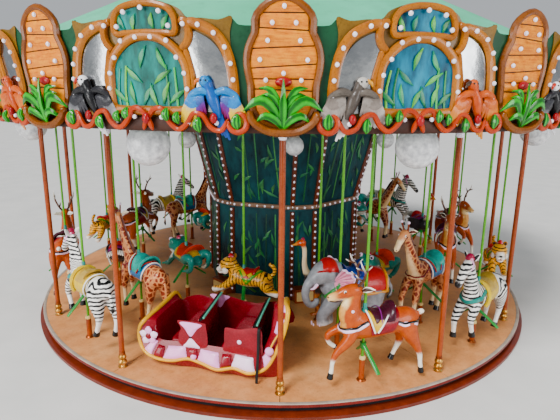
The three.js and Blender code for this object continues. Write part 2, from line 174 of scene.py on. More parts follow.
def rise(values, low, high):
    """Goes from 0 at low to 1 at high in a smooth step."""
    share = np.clip((values - low) / (high - low), 0, 1)
    return share * share * (3 - 2 * share)


def outward(form):
    """Turns the faces round where the volume that they enclose comes out negative."""
    a, b, c = (form.points[form.faces[:, i]] - form.points.mean(axis=0) for i in range(3))
    if np.einsum("ij,ij->", a, np.cross(b, c)) < 0:
        form.faces = form.faces[:, ::-1]
    return form


def surface(rings, loop=False):
    """Closed skin over rows of rings: two triangles join neighbours, and each end closes on its middle
    point, or on the other end where the rows form a loop."""
    rows, sides = rings.shape[:2]
    index = np.arange(rows * sides).reshape(rows, sides)
    near = index if loop else index[:-1]
    far = np.roll(index, -1, axis=0) if loop else index[1:]
    near_next, far_next = np.roll(near, -1, axis=1), np.roll(far, -1, axis=1)
    faces = [np.stack([near, near_next, far_next], -1).reshape(-1, 3),
             np.stack([near, far_next, far], -1).reshape(-1, 3)]
    angle = np.arange(sides) / sides * TURN
    along = np.linspace(0, 1, rows)[:, None]
    grain = xyz(along, np.cos(angle), np.sin(angle)).reshape(-1, 3)
    points = rings.reshape(-1, 3)
    if not loop:
        points = np.vstack([points, rings[[0, -1]].mean(axis=1)])
        grain = np.vstack([grain, [[0, 0, 0], [1, 0, 0]]])
        for end, ring in enumerate((index[0][::-1], index[-1])):
            faces.append(np.stack([np.full(sides, rows * sides + end), ring, np.roll(ring, -1)], -1))
    return outward(Form(points, np.concatenate(faces), {"grain": grain}))


def slab(outer, inner):
    """A sheet with thickness: each row runs along the outer grid and back along the inner one."""
    return surface(np.concatenate([outer, inner[:, ::-1]], axis=1))


def curve(points, count, loop=False):
    """Smooth samples through the points: cubics whose slope at a point is half the step between its
    neighbours."""
    knots = np.asarray(points, float)
    if loop:
        before, after, ahead = np.roll(knots, 1, 0), np.roll(knots, -1, 0), np.roll(knots, -2, 0)
        at = np.linspace(0, len(knots), count, endpoint=False)
    else:
        before = np.vstack([2 * knots[0] - knots[1], knots[:-1]])
        after = np.vstack([knots[1:], 2 * knots[-1] - knots[-2]])
        ahead = np.vstack([knots[2:], after[-1], 2 * after[-1] - knots[-1]])
        at = np.linspace(0, len(knots) - 1, count)
    i = np.minimum(at.astype(int), len(knots) - (1 if loop else 2))
    t = (at - i)[:, None]
    p, q, r, s = before[i], knots[i], after[i], ahead[i]
    return q + t * (r - p) / 2 + t**2 * (p - 2.5 * q + 2 * r - .5 * s) + t**3 * (1.5 * (q - r) + (s - p) / 2)


def tube(path, size, sides=8, across=OUT, loop=False):
    """Ovals carried along a path and square to it. Size is a radius, or the half size along "across"
    and the half size square to it, the same all along or for each point."""
    path = np.asarray(path, float)
    size = np.asarray(size, float)
    size = np.maximum(size.reshape(-1, 1) if size.ndim < 2 else size, .001)
    size = np.broadcast_to(size, (len(path), 2))
    ahead = unit(np.roll(path, -1, 0) - np.roll(path, 1, 0) if loop else np.gradient(path, axis=0))
    across = np.broadcast_to(np.asarray(across, float), path.shape)
    wide = unit(across - (across * ahead).sum(-1, keepdims=True) * ahead)
    deep = np.cross(ahead, wide)
    angle = (np.arange(sides) / sides * TURN)[None, :, None]
    wide, deep = (wide * size[:, :1])[:, None], (deep * size[:, 1:])[:, None]
    return surface(path[:, None] + np.cos(angle) * wide + np.sin(angle) * deep, loop)


def limb(knots, count=16, sides=12, across=OUT):
    """A tube through knots of x, y, z and one or two half sizes, smoothed between them."""
    line = curve(knots, count)
    return tube(line[:, :3], line[:, 3:], sides, across)


def lathe(profile, sides=24, loop=False):
    """A profile of radius and height pairs turned about Z."""
    profile = np.asarray(profile, float)
    angle = np.arange(sides) / sides * TURN
    return surface(round_axis(profile[:, :1], angle, profile[:, 1:]), loop)


def ball(middle, radii, sides=11, rows=7):
    """An ellipsoid: rings on a half circle, scaled to three radii."""
    polar = np.linspace(.5 / rows, 1 - .5 / rows, rows) * math.pi
    form = lathe(np.stack([np.sin(polar), -np.cos(polar)], -1), sides)
    return Form(form.points * np.broadcast_to(radii, 3) + np.asarray(middle), form.faces, form.values)


def cushion(low, high, power=.3, sides=40, rows=16):
    """A block with rounded edges: an ellipsoid whose sines and cosines are raised to a small power."""
    low, high = np.asarray(low, float), np.asarray(high, float)
    polar = np.linspace(-.97, .97, rows)[:, None] * math.pi / 2
    angle = (np.arange(sides) / sides * TURN)[None, :]
    bent = [np.sign(wave) * np.abs(wave) ** power
            for wave in (np.cos(polar), np.sin(polar), np.cos(angle), np.sin(angle))]
    flat, up, cosine, sine = bent
    return surface((low + high) / 2 + xyz(flat * cosine, flat * sine, up) * (high - low) / 2)


def scattered(form, places):
    """A copy of the form at each place, made as one array."""
    places = np.asarray(places, float)
    points = (form.points[None] + places[:, None]).reshape(-1, 3)
    faces = (form.faces[None] + (np.arange(len(places)) * len(form.points))[:, None, None]).reshape(-1, 3)
    return Form(points, faces)


def plate(outline, front, back, swell=0.0, edge=.006):
    """A solid on an outline in x and z: rows of the outline shrink towards its middle, and the front
    domes out by the swell and is rounded at the edge."""
    outline = np.asarray(outline, float)
    middle = (outline.min(axis=0) + outline.max(axis=0)) / 2
    shares = np.array([.1, .6, .9, .985, 1.0, 1.0, .4])
    outs = front + swell * (1 - shares**2)
    outs[5] -= edge
    outs[6:] = back
    flat = middle + shares[:, None, None] * (outline - middle)
    return surface(xyz(flat[..., 0], outs[:, None], flat[..., 1]))


def bead(outline, out, size, sides=8):
    """A rim of oval section along a closed outline in x and z. Size is its half depth and half width."""
    return tube(xyz(outline[:, 0], out, outline[:, 1]), [size], sides, loop=True)


def rail(knots, out, size, count=24, sides=8):
    """A bar of oval section along an open line in x and z, rounded off at its ends."""
    line = curve(knots, count)
    taper = np.sqrt(np.maximum(1 - np.linspace(-1, 1, count) ** 12, .03))[:, None]
    return tube(xyz(line[:, 0], out, line[:, 1]), np.array([size]) * taper, sides)


def mirrored(half, count=54):
    """A closed smooth outline from its one side, whose first and last point are on the middle line."""
    half = np.asarray(half, float)
    return curve(np.vstack([half, (half[1:-1] * [-1, 1])[::-1]]), count, loop=True)


def blade(knots, widths, thickness=.012, count=9, sides=6, across=OUT):
    """A leaf or feather: a flat oval carried along a smooth path, with a half width for each knot."""
    steps = np.linspace(0, 1, count)
    wide = np.interp(steps, np.linspace(0, 1, len(widths)), widths)
    thick = np.minimum(np.full(count, thickness), wide)
    return tube(curve(knots, count), np.stack([thick, wide], -1), sides, across)


def leaf(root, tip, bow, widths, thickness, count=6, sides=5):
    """A blade from a root to a tip, whose middle bows out."""
    root, tip = np.asarray(root, float), np.asarray(tip, float)
    return blade([root, (root + tip) / 2 + bow, tip], widths, thickness, count, sides)


def tinted(form, stops):
    """Paint that changes along the form, through evenly spaced colours."""
    colours = np.array([linear(stop)[:3] for stop in stops])
    at = form.values["grain"][:, 0]
    where = np.linspace(0, 1, len(stops))
    return form.carrying(paint=np.stack([np.interp(at, where, colours[:, i]) for i in range(3)], -1))


# Places on the ride: local x runs the way it turns, y away from the axis, z up from the deck

def on_ride(points, azimuth, radius, height=0.0, foot=0.0, lean=0.0):
    """Turns by the azimuth and half a turn, and moves out from the axis. With a lean, the place goes outwards
    above its foot."""
    sine, cosine = math.sin(azimuth), math.cos(azimuth)
    x, y, z = points.T
    reach = y + radius + lean * (z - foot)
    return xyz(-cosine * x + sine * reach, -sine * x - cosine * reach, z + height + DECK_TOP)


def on_fascia(points, azimuth):
    """Bends x round the fascia's ring and leans the top outwards."""
    x, out, z = points.T
    angle = azimuth - x / FASCIA_RADIUS
    radius = FASCIA_RADIUS + out + np.interp(z, [3.35, 4.1], [0.0, .05])
    return round_axis(radius, angle, z + DECK_TOP)


def hand(form, colour):
    """A part of hand painted glass fibre in one colour."""
    return PAINTED, form.painted(colour)


def repeated(parts, place, azimuths, *where):
    """The parts again at each azimuth."""
    return [(finish, form.placed(place, azimuth, *where)) for azimuth in azimuths for finish, form in parts]


def in_bay(parts, bay, radius, height=0.0):
    """The parts in the middle of a bay."""
    return repeated(parts, on_ride, [(bay + .5) * BAY_ANGLE], radius, height)


def in_sixth(number, *places):
    """Azimuths of places in one sixth of the ring, from their degrees within it."""
    return [math.radians(60 * number + place) for place in places]


def in_all_sixths(*places):
    """Azimuths of the same places in all six."""
    return [azimuth for number in range(6) for azimuth in in_sixth(number, *places)]


# Finishes

def linear(colour):
    """sRGB hex to linear red, green, blue and alpha."""
    value = np.array([int(colour.lstrip("#")[i:i + 2], 16) / 255 for i in (0, 2, 4)])
    value = np.where(value <= .04045, value / 12.92, ((value + .055) / 1.055) ** 2.4)
    return np.append(value, 1.0)


def feed(node, inputs):
    """Sets a node's inputs, or links them where the value is another node's output. Text is a colour."""
    for name, value in inputs:
        if isinstance(value, bpy.types.NodeSocket):
            node.id_data.links.new(value, node.inputs[name])
        else:
            node.inputs[name].default_value = linear(value) if isinstance(value, str) else value


def add_node(tree, kind, inputs=(), output="", stops=(), **settings):
    """Adds a node with its settings, and its inputs by name or in the order in which they show. A ramp has
    stops of position and colour. Gives the output of that name, or the first that shows."""
    node = tree.nodes.new("ShaderNode" + kind)
    for name, value in settings.items():
        setattr(node, name, value)
    shown = [number for number, socket in enumerate(node.inputs) if socket.enabled]
    feed(node, inputs.items() if isinstance(inputs, dict) else zip(shown, inputs))
    elements = node.color_ramp.elements if stops else ()
    while len(elements) < len(stops):
        elements.new(.5)
    for element, (position, colour) in zip(elements, stops):
        element.position = position
        element.color = linear(colour)
    return next(socket for socket in node.outputs if socket.enabled and output in ("", socket.name))


FINISHES = {}
PAINTED = "Hand painted gelcoat"
WHITE = "Petal gelcoat white"
PINK = "Petal gelcoat pink"
TUB = "Tub gelcoat red"
GLOSS = "Gloss enamel black"
MM = 1000  # millimetres in a metre: noise of scale MM / 45 has blotches 45 mm wide


SOCKETS = {
    "colour": "Base Color", "rough": "Roughness", "metallic": "Metallic", "specular": "Specular IOR Level",
    "coat": "Coat Weight", "coat_rough": "Coat Roughness", "normal": "Normal", "glow": "Emission Color",
    "glow_strength": "Emission Strength"}


def shade(shader, **values):
    """Sets or links the shader's own sockets."""
    feed(shader, [(SOCKETS[name], value) for name, value in values.items()])


def start_finish(name):
    """A new material: the function that adds its nodes, and the one that sets its shader's sockets."""
    material = bpy.data.materials.new(name)
    material.use_nodes = True
    FINISHES[name] = material
    tree = material.node_tree
    return partial(add_node, tree), partial(shade, tree.nodes["Principled BSDF"])


def weathered(add, shade, colour, rough=.28, dirt=.12, size_mm=120, coat=.3):
    """Paint that has faded in broad blotches and gathered dark specks of dirt, with an uneven gloss and
    the faint waves of a hand-laid mould."""
    point = add("TexCoord", output="Object")
    broad = add("TexNoise", [point, MM / size_mm, 4.0, .55])
    fine = add("TexNoise", [point, MM / (size_mm / 8), 3.0, .55])
    bleach = add("ValToRGB", [broad], stops=[(.35, "#2a2018"), (.7, "#ffffff")])
    faded = add("Mix", [.25, colour, bleach], data_type="RGBA", blend_type="SOFT_LIGHT")
    specks = add("ValToRGB", [fine], stops=[(.3, "#5a4a3c"), (.42, "#ffffff")])
    soiled = add("Mix", [dirt, faded, specks], data_type="RGBA", blend_type="MULTIPLY")
    gloss = add("MapRange", [fine, .3, .7, max(rough - .07, .04), rough + .12])
    wave = add("TexNoise", [point, MM / 45, 2.0, .55])
    shade(colour=soiled, rough=gloss, specular=.22, coat=coat * .5, coat_rough=.08,
          normal=add("Bump", {"Height": wave, "Distance": .7 / MM}))


def painted_gelcoat(name):
    """Glass fibre painted by hand in the colours that the surface carries: glossy, with soft blotches."""
    add, shade = start_finish(name)
    weathered(add, shade, add("Attribute", output="Color", attribute_name="paint"), size_mm=60)


def striped_gelcoat(name, stripe, width, edge=.06):
    """Hand painted stripes: a sine of the phase that the surface carries, bent by noise."""
    add, shade = start_finish(name)
    sway = add("TexNoise", [add("Attribute", output="Vector", attribute_name="local"), MM / 80, 2.0, .55])
    phase = add("Attribute", output="Fac", attribute_name="phase")
    bent = add("Math", [sway, 5.0, phase], operation="MULTIPLY_ADD")
    band = add("MapRange", [add("Math", [bent], operation="SINE"), width - edge, width + edge, 0.0, 1.0])
    marked = add("Attribute", output="Fac", attribute_name="marked")
    kept = add("Math", [band, marked], operation="MULTIPLY")
    ground = add("Attribute", output="Color", attribute_name="paint")
    weathered(add, shade, add("Mix", [kept, ground, stripe], data_type="RGBA"), size_mm=60)


def patched_gelcoat(name, patch, patch_mm):
    """Hand painted patches: the cells of a Voronoi pattern, with the ground colour between them."""
    add, shade = start_finish(name)
    place = add("Attribute", output="Vector", attribute_name="local")
    cells = add("TexVoronoi", {"Vector": place, "Scale": MM / patch_mm}, feature="DISTANCE_TO_EDGE")
    inside = add("MapRange", [cells, .1, .15, 0.0, 1.0])
    marked = add("Attribute", output="Fac", attribute_name="marked")
    kept = add("Math", [inside, marked], operation="MULTIPLY")
    ground = add("Attribute", output="Color", attribute_name="paint")
    weathered(add, shade, add("Mix", [kept, ground, patch], data_type="RGBA"), size_mm=60)


def deck_sheet(colour):
    """Coated steel sheet: matt brown, blotched by wear and dust, so that it takes no clear reflection."""
    add, shade = start_finish("Coated deck sheet")
    point = add("TexCoord", output="Object")
    scuff = add("TexNoise", [point, MM / 170, 6.0, .7])
    dust = add("TexNoise", [point, MM / 900, 5.0, .6])
    tone = add("ValToRGB", [dust], stops=[(.3, "#b8743f"), (.5, colour), (.72, "#e2a468")])
    wear = add("ValToRGB", [scuff], stops=[(.34, "#a86c3a"), (.5, "#d08c50"), (.68, "#e2a66c")])
    worn = add("Mix", [.4, tone, wear], data_type="RGBA")
    grit = add("TexNoise", [point, MM / 24, 2.0, .55])
    speck = add("ValToRGB", [grit], stops=[(.3, "#8a6a54"), (.42, "#ffffff")])
    shade(colour=add("Mix", [.25, worn, speck], data_type="RGBA", blend_type="MULTIPLY"),
          rough=add("MapRange", [scuff, .3, .7, .4, .7]),
          normal=add("Bump", {"Height": scuff, "Distance": 1.2 / MM}))


def plank_gelcoat(name, dark, mid, pale):
    """Planks imitated in glass fibre: long brushed grain that runs across the shield."""
    add, shade = start_finish(name)
    place = add("Attribute", output="Vector", attribute_name="local")
    stretched = add("Mapping", {"Vector": place, "Scale": (1, 1, 9)})
    grain = add("TexNoise", [stretched, MM / 150, 5.0, .6])
    tone = add("ValToRGB", [grain], stops=[(.24, dark), (.44, mid), (.7, pale)])
    weathered(add, shade, tone, dirt=.08, size_mm=70, coat=.05)


def mural(name, deep, mid, light, size_mm):
    """Airbrushed backdrop: soft upright strokes of matt paint."""
    add, shade = start_finish(name)
    tall = add("Mapping", {"Vector": add("TexCoord", output="Object"), "Scale": (1, 1, .35)})
    stroke = add("TexNoise", [tall, MM / size_mm, 5.0, .62])
    fine = add("TexNoise", [tall, MM / (size_mm / 5), 3.0, .55])
    broad_tone = add("ValToRGB", [stroke], stops=[(.32, deep), (.48, mid), (.66, light)])
    fine_tone = add("ValToRGB", [fine], stops=[(.35, deep), (.65, light)])
    shade(colour=add("Mix", [.3, broad_tone, fine_tone], data_type="RGBA"),
          rough=add("MapRange", [fine, .3, .7, .25, .45]), specular=.1)


def leaf_gelcoat(name, dark, light, lines):
    """Moulded leaf: paler ribs and darker hollows that run along it, as a sine of the place round it. On the
    bright leaves the paler ribs are painted highlight and the darker hollows painted shade; on the striped
    leaves they are also the leaves' own painted stripes.
    """
    add, shade = start_finish(name)
    across = add("SeparateXYZ", [add("Attribute", output="Vector", attribute_name="grain")], output="Z")
    wave = add("Math", [add("Math", [across, lines], operation="MULTIPLY")], operation="SINE")
    stripe_and_highlight = add("MapRange", [wave, -.7, .9, 0.0, 1.0])
    tone = add("Mix", [stripe_and_highlight, dark, light], data_type="RGBA")
    weathered(add, shade, tone, rough=.2, dirt=.1, size_mm=70, coat=.5)


def metal(name, dark, colour, light, rough, metallic):
    """Metallic paint: bright, and duller and darker where it is handled."""
    add, shade = start_finish(name)
    worn = add("TexNoise", [add("TexCoord", output="Object"), MM / 70, 4.0, .55])
    shade(colour=add("ValToRGB", [worn], stops=[(.3, dark), (.5, colour), (.72, light)]),
          rough=add("MapRange", [worn, .3, .7, rough, rough + .12]), metallic=metallic)


def mirror_sheet(name):
    """Polished steel sheet, slightly wavy, so that reflections run."""
    add, shade = start_finish(name)
    cloudy = add("TexNoise", [add("TexCoord", output="Object"), MM / 200, 3.0, .55])
    shade(colour=add("ValToRGB", [cloudy], stops=[(.3, "#8d9092"), (.7, "#b9bbbc")]), metallic=1.0, rough=.16,
          normal=add("Bump", {"Height": cloudy, "Distance": 4.0 / MM}))


def opal_acrylic(name, colour, glow):
    """Opal acrylic: milky and glossy, and faintly lit from inside."""
    add, shade = start_finish(name)
    cloudy = add("TexNoise", [add("TexCoord", output="Object"), MM / 60, 3.0, .55])
    share = add("MapRange", [cloudy, .3, .8, 0.0, 1.0])
    milky = add("Mix", [share, colour, "#ffffff"], data_type="RGBA")
    shade(colour=milky, rough=.15, glow=colour, glow_strength=glow)


# Finishes of one colour: sRGB colour or the name of a colour above, roughness, dirt, size of the blotches in
# millimetres, and clear coat
PLAIN_FINISHES = (
    # Sprayed enamel on steel: even and glossy where it is clean, dull where dirt has settled
    ("Post enamel", "enamel", .28, .3, 120, .3),
    ("Rim enamel red", "#6a1208", .28, .35, 120, .3),
    # Orange enamel darkened to dark brown-red: partly the ring's own colour, partly painted shade under the
    # deck's edge
    ("Base enamel orange", "#6a2008", .35, .45, 120, .3),
    ("Trim enamel grey", "#a99b8c", .45, .4, 120, 0),
    # Near-black under the deck and in its recess: painted shade
    ("Recess paint black", "#17171a", .6, .12, 120, 0),
    ("Chassis paint grey", "#3b4145", .5, .4, 120, 0),
    ("Pole enamel green", "pole", .2, .12, 120, .5),
    ("Collar enamel teal", "#0d7b6f", .28, .12, 120, .3),
    ("Collar enamel cream", "#e2c47b", .28, .12, 120, .3),
    ("Footrest enamel green", "#18832e", .28, .3, 120, .3),
    ("Ceiling enamel green", "#27543d", .5, .3, 400, 0),
    ("Grip paint turquoise", "#4dae94", .28, .2, 120, .3),
    ("Gloss enamel black", "#0c0c0e", .12, 0, 120, .8),
    ("Rib enamel rust", "#5c2206", .28, .4, 120, .3),
    ("Waist bar enamel brown", "#7a5a44", .4, .4, 120, .1),
    # Painted glass fibre: thick and glossy, so that it takes soft highlights
    ("Frame gelcoat ochre", "#a05c06", .28, .35, 160, .3),
    ("Shield gelcoat brown", "#743c00", .28, .35, 160, .3),
    ("Board gelcoat olive", "#70500c", .35, .45, 140, .3),
    ("Backing gelcoat green", "#0c4428", .4, .3, 300, .3),
    ("Shadow gelcoat brown", "#3a1c10", .5, .12, 120, 0),
    ("Vine gelcoat orange", "#a83200", .28, .25, 120, .3),
    ("Bud gelcoat red", "#900008", .28, .1, 120, .3),
    ("Roof gelcoat mint", "roof", .5, .12, 900, .1),
    ("Tub gelcoat red", "chariot", .22, .12, 200, .5),
    ("Petal gelcoat pink", "#f0a4dc", .28, .08, 120, .4),
    ("Petal gelcoat white", "#f4d4ee", .28, .08, 120, .4),
    ("Roll gelcoat yellow", "#dca000", .28, .15, 120, .4),
    # Rubber: matt and almost black
    ("Strap rubber black", "#141414", .55, .12, 120, 0),
)


def make_finishes(colours):
    """Every finish. The plain ones come from the table, with the user's colours where it names one."""
    for name, colour, *settings in PLAIN_FINISHES:
        weathered(*start_finish(name), getattr(colours, colour, colour), *settings)
    painted_gelcoat(PAINTED)
    striped_gelcoat("Zebra gelcoat", "#0e0e10", .15)
    striped_gelcoat("Tiger gelcoat", "#241204", .62)
    patched_gelcoat("Giraffe gelcoat", "#86280c", 75)
    deck_sheet(colours.deck)
    plank_gelcoat("Plank gelcoat", "#9c4a00", "#d27400", "#e48a00")
    mural("Window mural blue", "#001e2e", "#00526e", "#0088a6", 260)
    mural("Window mural green", "#022a22", "#005e54", "#009088", 260)
    mural("Tower mural", "#081a1e", "#0f3038", "#105054", 420)
    # Bright leaves: their paler ribs are painted highlight and their darker hollows painted shade
    leaf_gelcoat("Leaf gelcoat bright", "#005406", "#06a006", 4.0)
    leaf_gelcoat("Leaf gelcoat striped", "#08501a", "#21a50f", 9.0)
    metal("Gold paint", "#835312", "#b9802b", "#f0c876", .25, .8)
    metal("Copper paint", "#672909", "#964714", "#b16b36", .3, .8)
    mirror_sheet("Polished steel sheet")
    opal_acrylic("Opal bulb", "#dcd0e4", .2)
    # The globes' grey is painted shade: the opal itself is white
    opal_acrylic("Opal globe", "#aeaeb2", .02)


# Making objects

def add_values(mesh, key, values):
    """Stores a value for each point. A colour gets its alpha, and a single number stays single."""
    kind, field = "FLOAT_VECTOR", "vector"
    if key == "paint":
        kind, field = "FLOAT_COLOR", "color"
        values = np.hstack([values, np.ones((len(values), 1))])
    elif WIDTHS[key] == 1:
        kind, field = "FLOAT", "value"
    layer = mesh.attributes.new(key, kind, "POINT")
    layer.data.foreach_set(field, np.ascontiguousarray(values, dtype=np.float32).ravel())


def piece(name, parts, body="turntable", stands_for=()):
    """Makes one object of finish and form pairs, and rides it on a body."""
    whole = joined(form for _, form in parts)
    mesh = bpy.data.meshes.new(name)
    mesh.vertices.add(len(whole.points))
    mesh.vertices.foreach_set("co", whole.points.astype(np.float32).ravel())
    mesh.loops.add(whole.faces.size)
    mesh.loops.foreach_set("vertex_index", whole.faces.ravel().astype(np.int32))
    mesh.polygons.add(len(whole.faces))
    mesh.polygons.foreach_set("loop_start", (np.arange(len(whole.faces)) * 3).astype(np.int32))
    finishes = list(dict.fromkeys(finish for finish, _ in parts))
    slots = np.concatenate([np.full(len(form.faces), finishes.index(finish)) for finish, form in parts])
    mesh.polygons.foreach_set("material_index", slots.astype(np.int32))
    for finish in finishes:
        mesh.materials.append(FINISHES[finish])
    mesh.update()
    mesh.shade_smooth()
    mesh.set_sharp_from_angle(angle=SHARP_ANGLE)
    for key in sorted({"local", *whole.values}):
        add_values(mesh, key, whole.value(key))
    thing = bpy.data.objects.new(name, mesh)
    bpy.context.scene.collection.objects.link(thing)
    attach(thing, body)
    if stands_for:
        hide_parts(*stands_for)


def refinish(node, finish):
    """Gives a CAD node that stays in view a better finish."""
    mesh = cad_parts[node].data
    mesh.materials.clear()
    mesh.materials.append(FINISHES[finish])


def bulbs(places, radius):
    """Small bulbs, a few dozen faces each."""
    return "Opal bulb", scattered(ball((0, 0, 0), radius, 6, 4), places)


def sizes():
    """The sizes that the panel shows."""
    return bpy.context.scene.carousel_sizes


# Base, deck and posts

def ground_ring():
    """A low ring on the ground: a smooth profile turned about Z. Its dark brown-red is partly its orange
    enamel and partly painted shade from the deck above it.
    """
    profile = curve([[3.86, .003], [3.855, .04], [3.87, .05], [4.13, .05], [4.148, .04], [4.148, .003]], 12)
    return [("Base enamel orange", lathe(profile, 120, loop=True))]


HALF_SEAM = .004
SHEET = .008


def deck_boards(radius):
    """Twelve sheets in a ring with open seams between them: grids of angle and radius whose rim drops."""
    parts = []
    reach = np.linspace(.6, radius - .045, 12)[None, :]
    share = np.linspace(-1, 1, 17)[:, None]
    edge = np.maximum(np.abs(share) ** 60, np.clip((reach - reach.max() + .03) / .03, 0, 1) ** 4)
    for bay in range(BAYS):
        azimuth = (bay + .5) * BAY_ANGLE + share * (BAY_ANGLE / 2 - np.arcsin(HALF_SEAM / reach))
        top = round_axis(reach, azimuth, DECK_TOP - .002 * edge)
        bottom = round_axis(reach, azimuth, DECK_TOP - SHEET)
        parts.append(("Coated deck sheet", slab(top, bottom)))
    return parts


def deck_disc(radius):
    """Turned disc: dark underneath, a recess, and the red rim with its grey edge strip. The near-black of the
    underside and the recess is painted shade.
    """
    low, top = DECK_TOP - .12, DECK_TOP - .0085
    edge = np.array([radius, DECK_TOP])
    core = [[.02, low], [radius - .06, low], [radius - .06, top], [.02, top]]
    rim = edge - [[.055, .052], [.006, .05], [0, .044], [0, .016], [.004, .01], [.055, .01]]
    trim = edge - [[.044, .0095], [.001, .0095], [0, .003], [.003, 0], [.04, -.001], [.044, .002]]
    return [("Recess paint black", lathe(core, 120)), ("Rim enamel red", lathe(rim, 160, loop=True)),
            ("Trim enamel grey", lathe(trim, 160, loop=True))]


def sleeve(height):
    """Turned sleeve: copper foot, orange barrel and cream collar with a bore for the pole."""
    foot = [[.034, .001], [.056, .001], [.058, .008], [.046, .022], [.037, .03], [.034, .03]]
    barrel = [[.021, .012], [.034, .012], [.034, height - .045], [.021, height - .045]]
    collar = np.array([0, height]) + [[.0185, -.044], [.036, -.044], [.039, -.036], [.039, -.018],
                                      [.034, -.006], [.027, 0], [.0185, 0]]
    return [("Copper paint", lathe(foot, 14, loop=True)), ("Post enamel", lathe(barrel, 14, loop=True)),
            ("Collar enamel cream", lathe(collar, 14, loop=True))]


def post(radius):
    """Turned post: flange and double bulb in gold, copper neck, orange tube and a small top ball."""
    bulb = [[.006, .001], [.057, .001], [.058, .007], [.04, .014], [.032, .024], [.042, .036],
            [.053, .052], [.055, .066], [.049, .082], [.037, .094], [.034, .1], [.044, .112],
            [.05, .126], [.048, .142], [.04, .156], [.035, .164], [.006, .164]]
    neck = [[.006, .165], [.038, .165], [.04, .173], [.035, .184], [.036, .205], [.006, .205]]
    pipe = [[.006, .206], [radius, .206], [radius, CEILING - .002], [.006, CEILING - .002]]
    lamp = ball((0, 0, CEILING - .16), (.045, .045, .05), 16, 8)
    return [("Gold paint", lathe(bulb, 28)), ("Copper paint", lathe(neck, 28)),
            ("Post enamel", lathe(pipe, 28)), ("Opal bulb", lamp)]


# Tower

def tower_reach(z):
    """Radius of the tower's corners at a height: the same up to the waist, then wider up to the ceiling."""
    return np.interp(z, [0, TOWER_WAIST, CEILING], [TOWER_RADIUS, TOWER_RADIUS, TOWER_TOP_RADIUS])


def tower_rib():
    """A bar up a corner of the tower, upright to the waist and leaning out above it, with its bulbs."""
    z = np.array([.004, TOWER_WAIST - .02, TOWER_WAIST + .02, CEILING - .004])
    path = xyz(0, tower_reach(z) - TOWER_RADIUS + .004, z)
    bar = tube(path, [[.03, .036]], 12)
    heights = np.arange(.1, CEILING - .1, .105)
    lights = xyz(0, tower_reach(heights) - TOWER_RADIUS + .036, heights)
    return [("Rib enamel rust", bar), bulbs(lights, TOWER_BULB)]


def waist_bar(first, second):
    """The bar between two corners at the waist, with a row of bulbs."""
    ends = (TOWER_RADIUS + .03) * np.array([[math.sin(a), -math.cos(a), 0] for a in (first, second)])
    share = np.linspace(0, 1, 6)[:, None]
    level = np.array([0, 0, DECK_TOP + TOWER_WAIST])
    outwards = unit(ends[0] + ends[1])
    count = max(2, round(np.linalg.norm(ends[1] - ends[0]) / .12))
    where = (np.arange(count) + .5)[:, None] / count
    lights = ends[0] * (1 - where) + ends[1] * where + outwards * .03 + level
    bar = tube(ends[0] * (1 - share) + ends[1] * share + level, [[.028, .036]], 10, outwards)
    return [("Waist bar enamel brown", bar), bulbs(lights, TOWER_BULB)]


def painted_jungle(half_width, low, high, seed):
    """Low relief leaves and canes on a tower panel, in muted greens."""
    random = np.random.default_rng(seed)
    greens = ["#10572c", "#20793a", "#14402c", "#3c8841", "#1c6349"]
    parts = []
    for number in range(round(half_width * 9)):
        x, sway = random.uniform(-.85, .85) * half_width, random.uniform(-.05, .05)
        cane = limb([[x, .004, low + .03, .004, .012], [x + sway, .004, (low + high) / 2, .004, .011],
                     [x + 1.5 * sway, .004, high - .06, .004, .009]], 6, 6)
        parts.append(hand(cane, greens[number % 5]))
    for number in range(round(half_width * 44)):
        x, z = random.uniform(-.85, .85) * half_width, random.uniform(low + .2, high - .1)
        angle, length = random.uniform(-1.2, 1.2), random.uniform(.14, .3)
        step = np.array([math.sin(angle), 0, -math.cos(angle)]) * length
        knots = np.array([[x, .006, z], [x + .02, .012, z] + step / 2, [x, .006, z] + step])
        knots[:, 0] = np.clip(knots[:, 0], -half_width + .03, half_width - .03)
        knots[:, 2] = np.clip(knots[:, 2], low + .04, high - .04)
        frond = blade(knots, [.004, .026, .002], .005, 5, 4)
        parts.append((PAINTED, tinted(frond, [greens[number % 5], greens[(number + 1) % 5]])))
    return parts


def tower_murals():
    """Painted leaves on the six narrow and six wide panels, below and above the waist. A panel lies in from
    its corners by the cosine of half its angle."""
    parts = []
    for side in range(6):
        for centre, half in TOWER_PANELS:
            azimuth = in_sixth(side, centre)
            flat = math.cos(math.radians(half))
            half_width = TOWER_RADIUS * math.sin(math.radians(half)) - .045
            lean = (TOWER_TOP_RADIUS - TOWER_RADIUS) * flat / (CEILING - TOWER_WAIST)
            low = painted_jungle(half_width, .05, TOWER_WAIST - .08, side * 10 + centre)
            high = painted_jungle(half_width, TOWER_WAIST + .06, CEILING, side * 10 + centre + 1)
            parts += repeated(low, on_ride, azimuth, TOWER_RADIUS * flat)
            parts += repeated(high, on_ride, azimuth, TOWER_RADIUS * flat, 0, TOWER_WAIST, lean)
    return parts


def plinth():
    """The box at the foot of a narrow tower panel."""
    return [("Post enamel", cushion((-.17, -.1, .003), (.17, .1, .24), .12)),
            ("Collar enamel cream", cushion((-.14, .09, .04), (.14, .105, .2), .15))]


# Ceiling and roof

def ceiling_rings():
    """Flat rings of panel between the slots that the poles rise through."""
    low, high = DECK_TOP + CEILING, DECK_TOP + CEILING + .06
    stops = [.03, 2.08, 2.14, 2.89, 2.95, 3.7, 3.76, 4.395]
    rings = [[[a, low + .012], [a + .012, low], [b - .012, low], [b, low + .012], [b, high - .01],
              [a, high - .01]] for a, b in zip(stops[0::2], stops[1::2])]
    return [("Ceiling enamel green", lathe(ring, 96, loop=True)) for ring in rings]


def ceiling_beam():
    """A round beam from the tower out to the fascia."""
    return [("Post enamel", tube([[0, 1.72, 0], [0, 3.0, 0], [0, 4.38, 0]], [[.025, .028]], 8, (1, 0, 0)))]


